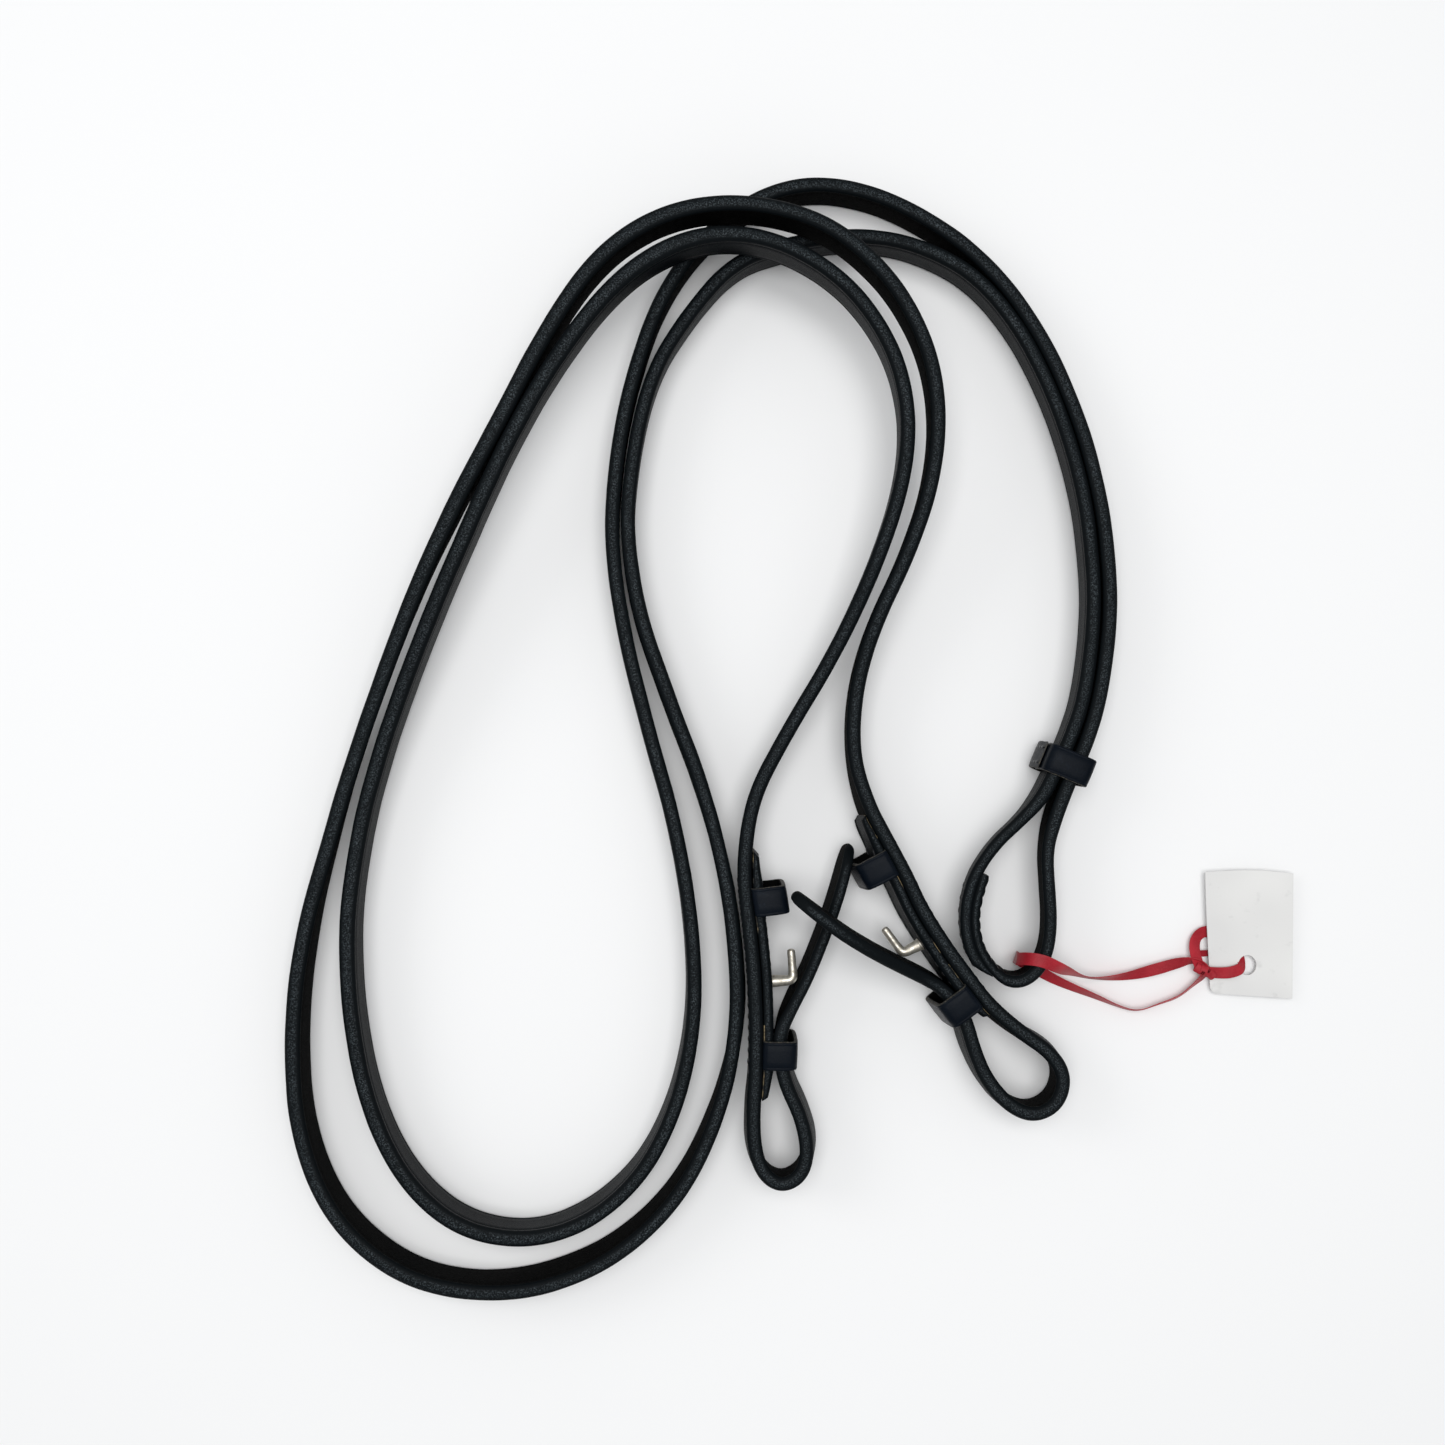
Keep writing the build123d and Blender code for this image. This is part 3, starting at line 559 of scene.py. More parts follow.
def strap_section(left, right):
    """Section of a strap and the material from each of its points to the next.

    A point is (u, v, out, up): parts of the half thickness and half width, then metres. left and
    right are the materials of the sides.
    """
    points = []

    def dome(turned):
        for angle in DOME:
            a = math.radians(angle + turned)
            v = 1 if turned == 0 else -1
            points.append((math.cos(a), v, 0.0, EDGE_ROUND * (math.sin(a) - v), EDGE))

    def flank(u, down, face):
        groove = CREASE if face == GRAIN else CREASE * 0.3
        v = down
        first, middle, last = CREASE_DOWN
        points.append((u, v, 0.0, -v * first, face))
        points.append((u, v, -u * groove, -v * middle, face))
        points.append((u, v, 0.0, -v * last, face))
        for part in (0.4, 0.0, -0.4):
            points.append((u, v * part, 0.0, 0.0, face))
        points.append((u, -v, 0.0, v * last, face))
        points.append((u, -v, -u * groove, v * middle, face))
        points.append((u, -v, 0.0, v * first, face))

    dome(0)
    flank(-1, 1, right)
    dome(180)
    flank(1, -1, left)
    strips = [point[4] for point in points]
    strips[len(DOME) - 1] = right
    strips[2 * len(DOME) + FLANK_POINTS - 1] = left
    return [point[:4] for point in points], strips


UNEVEN = 0.00005  # how much the half thickness varies
WANDER = 0.00012  # how much the line does


def strap_rings(line, section, shape=None):
    """Rings of a strap. shape(station, u) moves a point sideways by what it returns."""
    rings = []
    for s in line:
        shrink = min(1.0, s.high / HALF_WIDTH)
        thick = s.half + UNEVEN * noise(Vector((s.run * 140.0, 3.0, 0.0)))
        wander = WANDER * noise(Vector((s.run * 60.0, 7.0, 0.0)))
        ring = []
        for u, v, out, up in section:
            across = u * thick + out + wander
            if shape:
                across += shape(s, u)
            ring.append(place(s, across, v * s.high + up * shrink))
        rings.append(ring)
    return rings


POINT_LENGTH = 0.011
TIP_ROUND = 0.002
TIP_STATIONS = (TIP_ROUND, 0.0014, 0.0009, 0.0005, 0.0002, 0.0)
TIP_CLEAR = 0.0022


def pointed(line):
    """The line with its last stations closing to a blunt point, their thickness rounded off."""
    total = line[-1].run
    shaped = []
    for s in [s for s in line if s.run < total - TIP_CLEAR] + [at_run(line, total - d) for d in TIP_STATIONS]:
        left = max(0.0, (total - s.run) / POINT_LENGTH)
        if left >= 1:
            shaped.append(s)
            continue
        narrow = max(0.1, (1 - (1 - left) ** 2.4) ** 0.6)
        blunt = min(1.0, (total - s.run) / TIP_ROUND)
        thin = max(0.12, math.sqrt(1 - (1 - blunt) ** 2)) * (0.9 + 0.1 * left)
        shaped.append(s._replace(high=s.high * narrow, half=s.half * thin))
    return shaped


def with_heights(rows, middles):
    """Rows with the height of their centre replaced."""
    return [(*row[:2], z, *row[3:]) for row, z in zip(rows, middles)]


KEYHOLE_RADIUS = 0.0022
KEYHOLE_LENGTH = 0.009
KEYHOLE_STEPS = 24
SLIT = 0.0006  # half the slit's width
CUTTER_REACH = 0.006


def keyhole(made, start, ahead, distance, height):
    """Cuts the hole and the slit that go over the hook stud, on the way from start to ahead."""
    origin = Vector((*start, 0.0))
    along = (Vector((*ahead, 0.0)) - origin).normalized()
    out = Vector((-along.y, along.x, 0.0))
    origin += along * distance + Vector((0, 0, height))
    bm = bmesh.new()
    outline = []
    first = math.asin(SLIT / KEYHOLE_RADIUS)
    for i in range(KEYHOLE_STEPS + 1):
        a = first + (2 * math.pi - 2 * first) * i / KEYHOLE_STEPS
        outline.append((KEYHOLE_RADIUS * math.cos(a), KEYHOLE_RADIUS * math.sin(a)))
    outline += [(KEYHOLE_LENGTH - 0.0004, -SLIT), (KEYHOLE_LENGTH, 0.0), (KEYHOLE_LENGTH - 0.0004, SLIT)]
    rings = [
        [origin + along * x + Vector((0, 0, y)) + out * d for x, y in outline]
        for d in (-CUTTER_REACH, CUTTER_REACH)
    ]
    skin(bm, rings, [0] * len(outline))
    cutter = new_object("cutter", bm, [])
    modifier = made.modifiers.new("cut", "BOOLEAN")
    modifier.object = cutter
    modifier.solver = "EXACT"
    graph = bpy.context.evaluated_depsgraph_get()
    mesh = bpy.data.meshes.new_from_object(made.evaluated_get(graph))
    made.modifiers.clear()
    old = made.data
    made.data = mesh
    bpy.data.meshes.remove(old)
    bpy.data.objects.remove(cutter)
    mesh.set_sharp_from_angle(angle=math.radians(50))


CENTRE_LEAN = (-0.001, 0.0005)
BILLET_LEAN = (0.0007, 0.00045)
BIT_LEANS = [BILLET_LEAN] * 8 + [(0.0004, 0.0003)] + [(0.0, 0.0)] * 5 + [(0.0002, 0.0)] * 3

# Half thicknesses of the straps, and how far a stretch's top edge leans inward at each of its points.
TONGUE_HALF = 0.0014
LOOP_HALF = 0.0019
HALF = 0.00215
LEFT_FIRST_HALF = 0.0024
RIGHT_FIRST_HALF = 0.00235
BIT_HALF = 0.0021
LEFT_TAIL_HALF = 0.0017
RIGHT_LOOP_HALF = 0.0018
LEFT_BIT_INWARD = [0.0] * 5 + [0.0003, 0.0006] + [0.001] * 4 + [0.0006] * 4
RIGHT_DOWN_INWARD = [0.0005] * 9 + [0.0001, -0.0002, -0.0006, 0.0002] + [0.0005] * 3
RIGHT_UP_INWARD = [-0.0005] * 6 + [-0.0014, -0.0018, -0.0018, -0.0015, -0.001] + [-0.0005] * 4
RIGHT_BIT_INWARD = [0.0] * 8 + [-0.0007] * 5 + [-0.0003] * 4

# Heights of the free ends' centres.
LEFT_TAIL_MIDDLES = (0.0099, 0.0092, 0.0083, 0.008, 0.008, 0.008)
RIGHT_TAIL_MIDDLES = (0.0099, 0.0113, 0.0156, 0.0208, 0.0249, 0.0262, 0.0272)

LEFT_LINE = stations(
    controls(LEFT_TONGUE, TONGUE_HALF, RAISED_BED, lean=CENTRE_LEAN)
    + controls(LEFT_CENTRE_LOOP, LOOP_HALF, RAISED_BED, lean=CENTRE_LEAN)
    + controls(LEFT_SECOND_UP, HALF, SECOND_UP_BED, inward=0.0006)
    + controls(LEFT_SECOND_DOWN, HALF, FLAT, inward=0.0005)
    + controls(LEFT_FIRST_UP, LEFT_FIRST_HALF, FIRST_UP_BED, inward=-0.0005)
    + controls(LEFT_FIRST_DOWN, HALF, FIRST_DOWN_BED, inward=-0.0003)
    + controls(LEFT_BIT_END, BIT_HALF, RAISED_BED, inward=LEFT_BIT_INWARD)
    + with_heights(controls(LEFT_TAIL, LEFT_TAIL_HALF, RAISED_BED, lean=(0.0004, 0.0)), LEFT_TAIL_MIDDLES)
)
RIGHT_LINE = stations(
    controls(RIGHT_CENTRE_LOOP, RIGHT_LOOP_HALF, RAISED_BED, lean=CENTRE_LEAN)
    + controls(RIGHT_SECOND_UP, HALF, SECOND_UP_BED, inward=0.0006)
    + controls(RIGHT_SECOND_DOWN, HALF, FLAT, inward=RIGHT_DOWN_INWARD)
    + controls(RIGHT_FIRST_UP, RIGHT_FIRST_HALF, FIRST_UP_BED, inward=RIGHT_UP_INWARD)
    + controls(RIGHT_FIRST_DOWN, HALF, FIRST_DOWN_BED, inward=-0.0003)
    + controls(RIGHT_BIT_END[:-1], BIT_HALF, RAISED_BED, lean=BIT_LEANS, inward=RIGHT_BIT_INWARD)
    + with_heights(controls(RIGHT_TAIL, LOOP_HALF, RAISED_BED, lean=(0.0002, 0.0)), RIGHT_TAIL_MIDDLES)
)
TAIL_ROOT = (0.0743, -0.076)
ROOT = nearest(RIGHT_LINE, *TAIL_ROOT, first=len(RIGHT_LINE) // 2)

# Left rein: its smooth grain is on the right of its run. The inner edge of its sewn tongue is scalloped.
LOOP_LAST = 200  # where a search on the centre loop stops
TONGUE_RUN = LEFT_LINE[nearest(LEFT_LINE, 0.092, -0.0722, last=LOOP_LAST)].run
SCALLOP = 0.00035


def scallop(s, u):
    if u < 0.3 or s.run > TONGUE_RUN:
        return 0.0
    wave = abs(math.sin(math.pi * s.run / STITCH_PITCH))
    return SCALLOP * wave * u - 0.00015


left_section, left_strips = strap_section(FLESH, GRAIN)
left_rings = strap_rings(pointed(LEFT_LINE), left_section, scallop)
left_rein = skinned("left_rein", left_rings, left_strips, STRAP_MATERIALS)
keyhole(left_rein, LEFT_TAIL[0], LEFT_TAIL[1], distance=0.0056, height=0.0096)
finish(left_rein, "reins", "rein_leather", "rein_left")

# Right rein: skived where it's sewn to the left one, and cut at the root of its free end.
SKIVE_START = 0.22
SKIVE_RUN = 0.008
right_section, right_strips = strap_section(GRAIN, FLESH)
skived = [s._replace(half=s.half * min(1.0, SKIVE_START + s.run / SKIVE_RUN)) for s in RIGHT_LINE[:ROOT + 1]]
right_rein = skinned("right_rein", strap_rings(skived, right_section), right_strips, STRAP_MATERIALS)
finish(right_rein, "reins", "rein_leather", "rein_right")

right_rings = strap_rings(pointed(RIGHT_LINE[ROOT:]), right_section)
right_tail = skinned("right_free_end", right_rings, right_strips, STRAP_MATERIALS)
keyhole(right_tail, RIGHT_TAIL[0], RIGHT_TAIL[-1], distance=0.015, height=0.0158)
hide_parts("billet_tail_right")
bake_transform(right_tail)

# ---- Linings ----
LINING_INNER = 0.00205
LINING_THICK = 0.00295
LINING_TIP = 0.0013
BILLET_LAST = 150  # how many stations on a search for a billet's end stops
GAPE = 0.00022  # the seam's opening at its edges
GAPE_FROM = 0.0055  # past this height the seam gapes


def lining(name, line, start, end, side, tip, bare, node_name):
    """The second layer of a billet, skived at its ends over the lengths in tip.

    Its tan core shows in the bare stretches, measured from its start.
    """
    a = nearest(line, *start, first=len(line) // 2)
    b = nearest(line, *end, first=a, last=a + BILLET_LAST)
    rings = []
    strips = []
    for s in line[a:b + 1]:
        up_tip = (s.run - line[a].run) / tip[0]
        low_tip = (line[b].run - s.run) / tip[1]
        from_tip = min(s.run - line[a].run, line[b].run - s.run)
        blunt = 1 - min(1.0, from_tip / LINING_TIP)
        thick = LINING_THICK * (0.58 + 0.42 * min(1.0, up_tip, low_tip)) * max(0.2, math.sqrt(1 - blunt**2))
        thick += 0.0001 * noise(Vector((s.run * 170.0, 1.0, 2.0)))
        round_off = min(1.0, up_tip * 3.0, low_tip * 3.0)
        high = s.high * (0.9 + 0.1 * max(0.0, round_off)) - 0.00025
        gape = GAPE + 0.00016 * noise(Vector((s.run * 90.0, 5.0, 1.0)))
        ring = []
        for across, above in (
            (0.0, high - 0.001), (0.03, high - 0.0004), (0.1, high - 0.00015), (0.3, high),
            (0.5, high + 0.00012), (0.66, high), (0.8, high - 0.00022), (0.92, high - 0.0006),
            (1.0, high - 0.0012), (1.0, high - 0.0019), (0.95, high - 0.0021), (1.0, high - 0.0023),
            (1.0, 0.003), (1.0, 0.0), (1.0, -0.003), (1.0, 0.0023 - high), (0.95, 0.0021 - high),
            (1.0, 0.0019 - high), (1.0, 0.0012 - high), (0.8, 0.00022 - high), (0.5, -high),
            (0.2, 0.00015 - high), (0.0, 0.001 - high), (0.0, 0.0),
        ):
            out = LINING_INNER + (gape if abs(above) > GAPE_FROM else 0.0) + across * thick
            ring.append(place(s, side * out, above))
        rings.append(ring)
        core = RAW if any(p <= s.run - line[a].run <= q for p, q in bare) else EDGE
        strips.append([core] * 2 + [EDGE] * 5 + [GRAIN] * 11 + [EDGE] * 3 + [core] + [FLESH] * 2)
    finish(skinned(name, rings, strips, STRAP_MATERIALS), "reins", "lining_leather", node_name)


LEFT_BARE = ((0.0, 0.0035), (0.0075, 0.0095), (0.019, 0.0235), (0.052, 0.075))
RIGHT_BARE = ((0.0, 0.007), (0.0135, 0.0235), (0.041, 0.046), (0.05, 0.08))
lining(
    "left_lining", LEFT_LINE, start=(0.0134, -0.0327), end=(0.0164, -0.1078), side=1, tip=(0.01, 0.009),
    bare=LEFT_BARE, node_name="billet_lining_left",
)
lining(
    "right_lining", RIGHT_LINE, start=(0.0514, -0.0226), end=(0.088, -0.0815), side=-1, tip=(0.012, 0.008),
    bare=RIGHT_BARE, node_name="billet_lining_right",
)

# ---- Keepers and runner ----
BAND = 0.0086
LEATHER = 0.0008  # half the thickness of a keeper
BAND_STEPS = 8
KEEPER_SKIVE = 1.5
RUNNER_SKIVE = 3.5
BAND_UNEVEN = 0.00008
# Across a keeper: part of its half width, part of its half thickness and the material.
BAND_SECTION = (
    (-1.00, 0.00, 1), (-0.99, 0.45, 1), (-0.95, 0.85, 0), (-0.88, 0.98, 0), (-0.81, 0.99, 0),
    (-0.78, 0.89, 0), (-0.75, 0.99, 0), (-0.35, 1.06, 0), (0.0, 1.08, 0), (0.35, 1.06, 0),
    (0.75, 0.99, 0), (0.78, 0.89, 0), (0.81, 0.99, 0), (0.88, 0.98, 0), (0.95, 0.85, 0),
    (0.99, 0.45, 1), (1.00, 0.0, 1), (0.985, -0.5, 1), (0.93, -0.95, 2), (0.4, -1.0, 2),
    (-0.4, -1.0, 2), (-0.93, -0.95, 2), (-0.985, -0.5, 1),
)


def band_rings(path, origin, out, along, skive):
    """Rings of a keeper's leather along a path across the strap, its ends thinned over skive points."""
    line = line_points([(x, z, 0.0) for x, z in path], BAND_STEPS)
    rings = []
    total = len(line) - 1
    for i, p in enumerate(line):
        back = line[max(i - 1, 0)]
        ahead = line[min(i + 1, total)]
        way = (ahead - back).normalized()
        normal = Vector((way.y, -way.x, 0.0))
        from_end = min(i, total - i) / (skive * BAND_STEPS)
        thin = 0.25 + 0.75 * min(1.0, from_end)
        ring = []
        for w, t, m in BAND_SECTION:
            x = p.x + normal.x * t * LEATHER * thin
            z = p.y + normal.y * t * LEATHER * thin
            slide = w * BAND / 2 + BAND_UNEVEN * noise(Vector((x * 300.0, z * 300.0, w)))
            ring.append(origin + out * x + Vector((0, 0, z)) + along * slide)
        rings.append(ring)
    return rings


BAND_STRIPS = [m for w, t, m in BAND_SECTION]
BAND_MATERIALS = (KEEPER_GRAIN, CUT_EDGE, BLACK_FLESH)


def keeper(name, line, centre, side, reach, node_name, skew=0.0, sag=0.0):
    """A sewn-in keeper that reaches so far out of the seam, where its path starts and ends."""
    s = line[nearest(line, *centre, first=len(line) // 2)]
    path = [
        (0.0023, 0.0052), (0.0023, 0.002), (0.0027, 0.00095), (0.005, 0.00082), (reach - 0.0034, 0.00082),
        (reach - 0.0012, 0.0011), (reach - 0.0008, 0.0034), (reach - 0.00075, MIDDLE),
        (reach - 0.0008, 0.0164), (reach - 0.0011, 0.0187 - sag), (reach - 0.0034, 0.01915 - sag),
        (0.006, 0.0193 - sag / 2), (0.0034, 0.01915), (0.0023, 0.0188), (0.0021, 0.0168),
    ]
    out = s.side * side
    along = (s.along + out * skew).normalized()
    rings = band_rings(path, Vector((s.at.x, s.at.y, 0.0)), out, along, KEEPER_SKIVE)
    leaning = [[p + s.lean * ((p.z - MIDDLE) / HALF_WIDTH) for p in ring] for ring in rings]
    finish(skinned(name, leaning, BAND_STRIPS, BAND_MATERIALS), "reins", "keeper_leather", node_name)


keeper("left_upper_keeper", LEFT_LINE, (0.0141, -0.0483), 1, 0.0124, "upper_keeper_left", skew=0.05)
keeper("left_lower_keeper", LEFT_LINE, (0.017, -0.0938), 1, 0.0124, "lower_keeper_left", skew=-0.02)
keeper("right_upper_keeper", RIGHT_LINE, (0.0587, -0.03625), -1, 0.0124, "upper_keeper_right", sag=0.0004)
keeper("right_lower_keeper", RIGHT_LINE, (0.08265, -0.0753), -1, 0.0129, "lower_keeper_right", sag=0.0002)

RUNNER_CENTRE = Vector((0.1102, -0.0077, 0.0))
RUNNER_AXIS = Vector((0.385, 0.923, 0.0)).normalized()
RUNNER_ACROSS = Vector((RUNNER_AXIS.y, -RUNNER_AXIS.x, 0.0))
RUNNER_PATH = [
    (-0.0078, 0.0147), (-0.0079, 0.012), (-0.008, 0.0085), (-0.0078, 0.0052), (-0.0072, 0.0026),
    (-0.0062, 0.001), (-0.004, 0.00082), (0.0, 0.00082), (0.004, 0.00082), (0.0063, 0.00105),
    (0.0068, 0.0033), (0.0068, MIDDLE), (0.0068, 0.0163), (0.0063, 0.0187), (0.004, 0.019),
    (0.0, 0.0191), (-0.004, 0.019), (-0.0061, 0.0185), (-0.0067, 0.0163), (-0.0067, MIDDLE),
    (-0.0064, 0.0062),
]
runner_rings = band_rings(RUNNER_PATH, RUNNER_CENTRE, RUNNER_ACROSS, RUNNER_AXIS, RUNNER_SKIVE)
runner = skinned("runner_band", runner_rings, BAND_STRIPS, BAND_MATERIALS)
finish(runner, "runner", "keeper_leather", "runner")


# ---- Hook studs ----
ROD_SIDES = 20
ROD_STEPS = 10


def rod(bm, points, radii):
    """A round bar along a smooth line, with a radius for each control point."""
    line = line_points(points, ROD_STEPS)
    sizes = line_points([(r, 0.0, 0.0) for r in radii], ROD_STEPS)
    rings = []
    across = None
    for i, p in enumerate(line):
        way = (line[min(i + 1, len(line) - 1)] - line[max(i - 1, 0)]).normalized()
        if across is None:
            across = way.orthogonal().normalized()
        across = (across - way * across.dot(way)).normalized()
        other = way.cross(across)
        rings.append([
            p + (across * math.cos(a) + other * math.sin(a)) * sizes[i].x for a in circle(ROD_SIDES)
        ])
    skin(bm, rings, [0] * ROD_SIDES)


def hook_stud(name, line, at, side, route, node_name):
    """A bent pin with a collar on the lining. Its route is (out, up the strap, radius)."""
    s = line[nearest(line, *at, first=len(line) // 2)]
    out = s.side * side
    base = Vector((s.at.x, s.at.y, MIDDLE))
    bm = bmesh.new()
    rod(bm, [base + out * x - s.along * y for x, y, r in route], [r for x, y, r in route])
    rod(bm, [base + out * x for x, r in COLLAR], [r for x, r in COLLAR])
    finish(new_object(name, bm, (NICKEL,)), "reins", "stud_metal", node_name)


COLLAR = (
    (0.0046, 0.0019), (0.005, 0.002), (0.0053, 0.002), (0.0056, 0.0018), (0.0059, 0.0014),
    (0.0062, 0.0012),
)
LEFT_PIN = (
    (0.0046, 0.0, 0.0019), (0.0062, 0.0, 0.00185), (0.0084, 0.0, 0.00165), (0.0104, 0.0, 0.00155),
    (0.0117, 0.0006, 0.0015), (0.0118, 0.0026, 0.00134), (0.0117, 0.005, 0.00122),
    (0.0117, 0.007, 0.00124), (0.0116, 0.0085, 0.00124), (0.0116, 0.0094, 0.00096),
    (0.0116, 0.0095, 0.00008),
)
RIGHT_PIN = (
    (0.0046, 0.0, 0.0019), (0.006, 0.0, 0.00182), (0.008, 0.0003, 0.00162),
    (0.0099, 0.0004, 0.00154), (0.011, 0.0011, 0.00148), (0.0113, 0.003, 0.00132),
    (0.0114, 0.0054, 0.00122), (0.0115, 0.0076, 0.00122), (0.0116, 0.0092, 0.0012),
    (0.0117, 0.0101, 0.00094), (0.0117, 0.0102, 0.00008),
)
hook_stud("left_stud", LEFT_LINE, (0.0168, -0.0738), 1, LEFT_PIN, "hook_stud_left")
hook_stud("right_stud", RIGHT_LINE, (0.0713, -0.0589), -1, RIGHT_PIN, "hook_stud_right")

# ---- Stitching ----
STITCH_LENGTH = 0.0027
STITCH_RADIUS = 0.00034
STITCH_SIDES = 8
STITCH_SLANT = 0.22
ROWS = (-0.0058, 0.0058)


def stitch(bm, at, along, out, up, slant):
    """One slanted stitch whose ends go into the leather."""
    way = (along + up * slant).normalized()
    rings = []
    cross = way.cross(out).normalized()
    for t, depth, size in (
        (-1.0, -0.00042, 0.45), (-0.82, -0.00022, 0.85), (-0.45, -0.0001, 1.0), (0.0, -0.00006, 1.05),
        (0.45, -0.0001, 1.0), (0.82, -0.00022, 0.85), (1.0, -0.00042, 0.45),
    ):
        centre = at + way * (t * STITCH_LENGTH / 2) + out * depth
        rings.append([
            centre + (cross * math.cos(a) + out * math.sin(a) * 0.8) * STITCH_RADIUS * size
            for a in circle(STITCH_SIDES)
        ])
    skin(bm, rings, [0] * STITCH_SIDES)


def stitch_row(bm, line, first, last, side, offset, above):
    """Stitches along a stretch, on the face on that side, at an offset from the strap's centre line.

    With no offset they lie on the strap itself.
    """
    start = line[first].run
    length = line[last].run - start
    count = int(length / STITCH_PITCH)
    for i in range(count):
        s = at_run(line, start + length * (i + 0.5) / count)
        out = s.side * side
        at = place(s, side * (s.half if offset is None else offset), above)
        stitch(bm, at, s.along, out, Vector((0, 0, 1)), STITCH_SLANT * side)


def billet_stitching(name, line, start, end, side, node_name):
    a = nearest(line, *start, first=len(line) // 2)
    b = nearest(line, *end, first=a, last=a + BILLET_LAST)
    bm = bmesh.new()
    for above in ROWS:
        stitch_row(bm, line, a, b, side, LINING_INNER + LINING_THICK + 0.0001, above)
        stitch_row(bm, line, a, b, -side, None, above)
    finish(new_object(name, bm, (THREAD,)), "reins", "thread", node_name)


billet_stitching(
    "left_stitches", LEFT_LINE, start=(0.0136, -0.041), end=(0.0168, -0.101), side=1,
    node_name="billet_stitching_left",
)
billet_stitching(
    "right_stitches", RIGHT_LINE, start=(0.0555, -0.031), end=(0.084, -0.0765), side=-1,
    node_name="billet_stitching_right",
)

bm = bmesh.new()
tongue_end = nearest(LEFT_LINE, 0.0895, -0.0702, last=LOOP_LAST)
loop_start = nearest(RIGHT_LINE, 0.085, -0.0684, last=LOOP_LAST)
loop_end = nearest(RIGHT_LINE, 0.0825, -0.0432, last=LOOP_LAST)
for above in ROWS:
    stitch_row(bm, LEFT_LINE, 3, tongue_end, 1, None, above)
    stitch_row(bm, RIGHT_LINE, loop_start, loop_end, 1, None, above)
finish(new_object("centre_stitches", bm, (THREAD,)), "reins", "thread", "centre_stitching")

LAP_FACE = 0.0085  # from the runner's centre to the outside of its lap
bm = bmesh.new()
for along in (-0.0024, 0.0024):
    for step in (-0.003, 0.0, 0.003):
        at = RUNNER_CENTRE - RUNNER_ACROSS * LAP_FACE + RUNNER_AXIS * along + Vector((0, 0, MIDDLE + step))
        stitch(bm, at, Vector((0, 0, 1)), -RUNNER_ACROSS, RUNNER_AXIS, 0.15)
finish(new_object("runner_stitches", bm, (THREAD,)), "runner", "thread", "runner_stitching")


# ---- Ribbon ----
def ribbon_rings(line, lies, width=RIBBON_WIDTH, thick=RIBBON_THICK):
    """Rings of a thin ribbon that lies in the given directions, its selvedges a little thicker."""
    rings = []
    last = len(line) - 1
    for i, p in enumerate(line):
        way = (line[min(i + 1, last)] - line[max(i - 1, 0)]).normalized()
        across = lies[i] - way * lies[i].dot(way)
        across.normalize()
        normal = way.cross(across)
        cup = 0.00018 * noise(Vector((i * 0.11, 2.0, 4.0)))
        ring = []
        for w, t in (
            (-1.0, 0.0), (-0.97, 0.9), (-0.88, 1.1), (-0.5, 0.8), (0.0, 0.75), (0.5, 0.8), (0.88, 1.1),
            (0.97, 0.9), (1.0, 0.0), (0.97, -0.9), (0.88, -1.1), (0.5, -0.8), (0.0, -0.75), (-0.5, -0.8),
            (-0.88, -1.1), (-0.97, -0.9),
        ):
            ring.append(p + across * (w * width / 2) + normal * (t * thick / 2 + cup * (1 - w * w)))
        rings.append(ring)
    return rings


SATIN_STRIPS = [0] * 16
RIBBON_LINE = line_points(RIBBON)
ribbon_mesh = ribbon_rings(RIBBON_LINE, line_points(RIBBON_LIES))
ribbon = finish(skinned("ribbon_loop", ribbon_mesh, SATIN_STRIPS, (SATIN,)), "reins", "ribbon", "tag_ribbon")
hitch_mesh = ribbon_rings(line_points(HITCH), line_points(HITCH_LIES), HITCH_WIDTH)
hitch = finish(skinned("ribbon_hitch", hitch_mesh, SATIN_STRIPS, (SATIN,)), "reins", "ribbon")

# The knot: three turns of ribbon round the strands, side by side, and a short end under the ticket.
KNOT_AT = Vector((0.1553, -0.0713, 0.003))
KNOT_STEPS = 6
KNOT_THICK = 0.0003
TURN_POINTS = 14
TURNS = (
    # centre from the knot's, axis, half width and half height of the turn, climb, start and ribbon width
    ((-0.0016, 0.0006, 0.0), (0.86, -0.5, 0.05), 0.0015, 0.00125, 0.0008, 0.3, 0.0024),
    ((0.0002, -0.0001, 0.0002), (0.95, -0.28, 0.0), 0.00165, 0.00145, 0.0016, 1.4, 0.0022),
    ((0.0018, -0.0009, 0.0), (0.8, -0.58, -0.05), 0.0015, 0.0013, 0.001, 2.2, 0.0024),
)
STUB = [(0.1538, -0.0664, 0.0012), (0.1562, -0.0665, 0.0008), (0.159, -0.0662, 0.0007)]
STUB_LIES = Vector((0, 1, 0.3))
STUB_WIDTH = 0.0021


def turn(centre, axis, wide, tall, climb, start):
    """Control points of one loose turn round an axis."""
    side = axis.cross(Vector((0, 0, 1))).normalized()
    points = []
    for k in range(TURN_POINTS + 1):
        part = k / TURN_POINTS
        a = 2 * math.pi * part + start
        round_it = side * (math.cos(a) * wide) + Vector((0, 0, math.sin(a) * tall))
        points.append(centre + round_it + axis * (climb * (part - 0.5)))
    return points


bm = bmesh.new()
for offset, axis, wide, tall, climb, start, width in TURNS:
    axis = Vector(axis).normalized()
    line = line_points(turn(KNOT_AT + Vector(offset), axis, wide, tall, climb, start), KNOT_STEPS)
    skin(bm, ribbon_rings(line, [axis] * len(line), width, KNOT_THICK), SATIN_STRIPS)
stub = line_points(STUB, KNOT_STEPS)
skin(bm, ribbon_rings(stub, [STUB_LIES] * len(stub), STUB_WIDTH, KNOT_THICK), SATIN_STRIPS)
knot = finish(new_object("knot_turns", bm, (SATIN,)), "reins", "ribbon", "ribbon_knot")

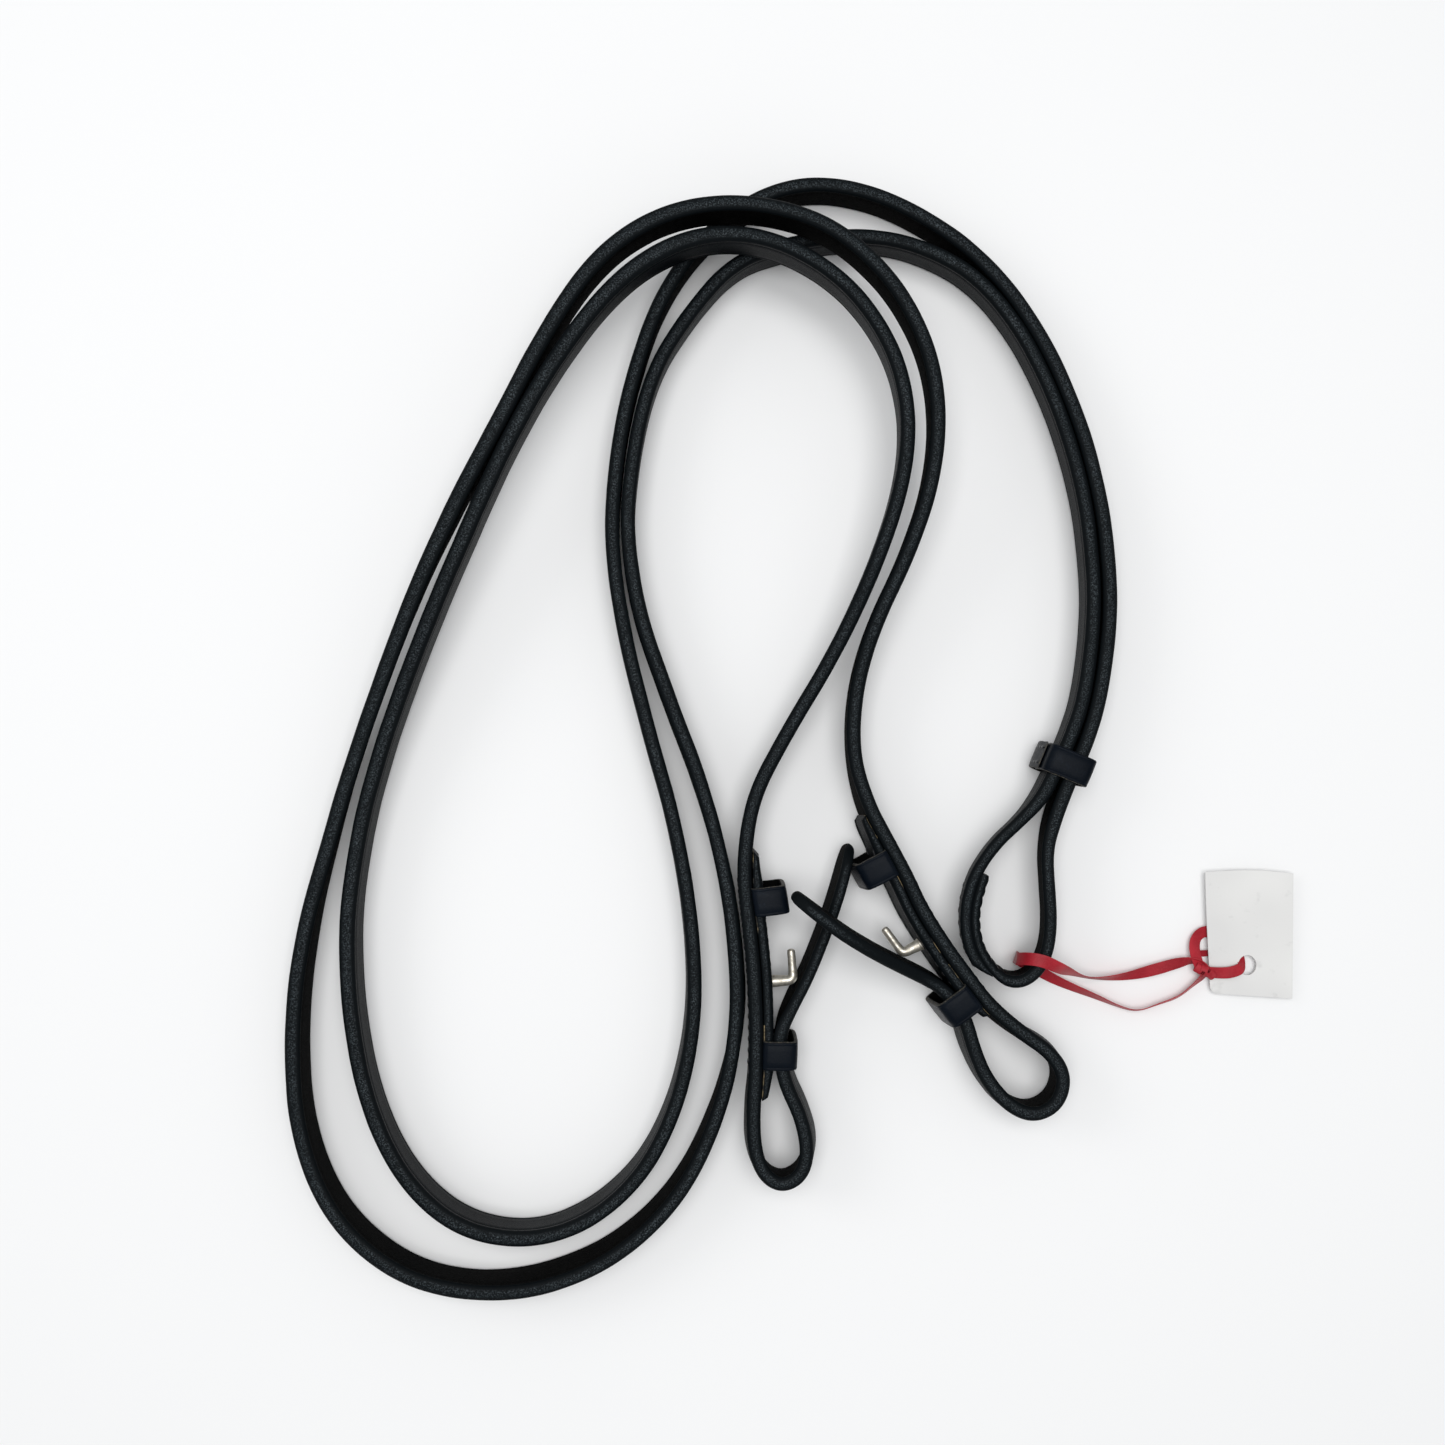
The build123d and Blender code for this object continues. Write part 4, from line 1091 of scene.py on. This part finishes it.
# ---- Ticket ----
TICKET_OUTLINE = [
    (0.1555, -0.041), (0.1661, -0.0405), (0.1736, -0.0406), (0.1828, -0.0415), (0.1828, -0.061),
    (0.1828, -0.0802), (0.17, -0.0793), (0.159, -0.0786), (0.1579, -0.078), (0.1574, -0.0768),
    (0.1565, -0.0624), (0.156, -0.0532),
]
TICKET_HOLE = (0.1688, -0.0698)
TICKET_HOLE_SIZE = (0.0028, 0.0031)  # half its width, half its height
TICKET_THICKNESS = 0.00042
TICKET_LEVEL = 0.00185
TICKET_CORNER = (0.1562, -0.0804)
TICKET_SIZE = (0.0274, 0.0394)
EDGE_STEP = 0.0013
HOLE_POINTS = 40
GRID_START = (0.156, -0.08)
GRID_STEP = 0.00118
GRID_COUNT = (24, 34)
RIM_CLEAR = 0.0004
HOLE_CLEAR = 1.15


def rim(points):
    """Each point with the next, round to the first."""
    return list(zip(points, points[1:] + points[:1]))


def inside(polygon, x, y):
    hit = False
    for (ax, ay), (bx, by) in rim(polygon):
        if (ay > y) != (by > y) and x < ax + (y - ay) / (by - ay) * (bx - ax):
            hit = not hit
    return hit


def from_hole(x, y):
    """1 on the hole's edge, more outside it."""
    return math.hypot((x - TICKET_HOLE[0]) / TICKET_HOLE_SIZE[0], (y - TICKET_HOLE[1]) / TICKET_HOLE_SIZE[1])


def ticket_height(x, y):
    """The card's gentle curl: its left edge and far corner lift."""
    across = (x - TICKET_CORNER[0]) / TICKET_SIZE[0]
    up = (y - TICKET_CORNER[1]) / TICKET_SIZE[1]
    lift = 0.0012 * (1 - across) ** 2 * up + 0.0008 * across * across * up
    return TICKET_LEVEL + lift + 0.00008 * noise(Vector((x * 120.0, y * 120.0, 0.0)))


def ticket_points():
    """Points of the ticket's edge, of its hole and inside it."""
    edge = []
    for (ax, ay), (bx, by) in rim(TICKET_OUTLINE):
        pieces = max(1, round(math.hypot(bx - ax, by - ay) / EDGE_STEP))
        edge += [(ax + (bx - ax) * i / pieces, ay + (by - ay) * i / pieces) for i in range(pieces)]
    (x, y), (wide, tall) = TICKET_HOLE, TICKET_HOLE_SIZE
    hole = [(x + wide * math.cos(a), y + tall * math.sin(a)) for a in circle(HOLE_POINTS)]
    grid = []
    for i in range(GRID_COUNT[0]):
        for j in range(GRID_COUNT[1]):
            x = GRID_START[0] + i * GRID_STEP
            y = GRID_START[1] + j * GRID_STEP
            clear = all(inside(TICKET_OUTLINE, x + d, y) for d in (0.0, -RIM_CLEAR, RIM_CLEAR))
            if clear and from_hole(x, y) > HOLE_CLEAR:
                grid.append((x, y))
    return edge, hole, grid


def ticket():
    """A blank card with a hole, of one even thickness."""
    edge, hole, grid = ticket_points()
    points = [Vector(p) for p in edge + hole + grid]
    rims = rim(list(range(len(edge)))) + rim(list(range(len(edge), len(edge) + len(hole))))
    found, _, faces = delaunay_2d_cdt(points, rims, [], 0, 1e-7)[:3]
    bm = bmesh.new()
    verts = [bm.verts.new((p.x, p.y, ticket_height(p.x, p.y))) for p in found]
    for face in faces:
        x = sum(found[i].x for i in face) / len(face)
        y = sum(found[i].y for i in face) / len(face)
        if inside(TICKET_OUTLINE, x, y) and from_hole(x, y) > 0.995:
            bm.faces.new([verts[i] for i in face]).smooth = True
    loose = [v for v in bm.verts if not v.link_faces]
    bmesh.ops.delete(bm, geom=loose, context="VERTS")
    raised = bmesh.ops.extrude_face_region(bm, geom=bm.faces[:])["geom"]
    upper = [e for e in raised if isinstance(e, bmesh.types.BMVert)]
    bmesh.ops.translate(bm, verts=upper, vec=(0, 0, TICKET_THICKNESS))
    bmesh.ops.recalc_face_normals(bm, faces=bm.faces)
    return new_object("blank_ticket", bm, (CARD,), 40.0)


tag = finish(ticket(), "reins", "ticket_card", "swing_ticket")

# ---- Floor and light ----
FLOOR_HALF = 4.0
FLOOR_DROP = 0.00005
bm = bmesh.new()
bmesh.ops.create_grid(bm, x_segments=1, y_segments=1, size=FLOOR_HALF)
floor = new_object("floor", bm, (material("floor", (0.86, 0.86, 0.86), 0.9),))
floor.location = (0, 0, -FLOOR_DROP)


def area_light(name, at, size, energy):
    """A square light that faces the origin."""
    light = bpy.data.lights.new(name, "AREA")
    light.shape = "SQUARE"
    light.size = size
    light.energy = energy
    lamp = bpy.data.objects.new(name, light)
    lamp.location = at
    lamp.rotation_euler = (-Vector(at)).to_track_quat("-Z", "Y").to_euler()
    bpy.context.scene.collection.objects.link(lamp)


area_light("overhead", (0.02, 0.1, 1.3), size=0.9, energy=13.0)
area_light("side", (-1.2, 0.5, 0.9), size=0.7, energy=3.0)
world = bpy.data.worlds.new("studio")
world.use_nodes = True
sky = world.node_tree.nodes["Background"]
sky.inputs["Color"].default_value = (0.96, 0.98, 1.0, 1)
sky.inputs["Strength"].default_value = 0.42
bpy.context.scene.world = world
bpy.context.scene.view_settings.view_transform = "Standard"
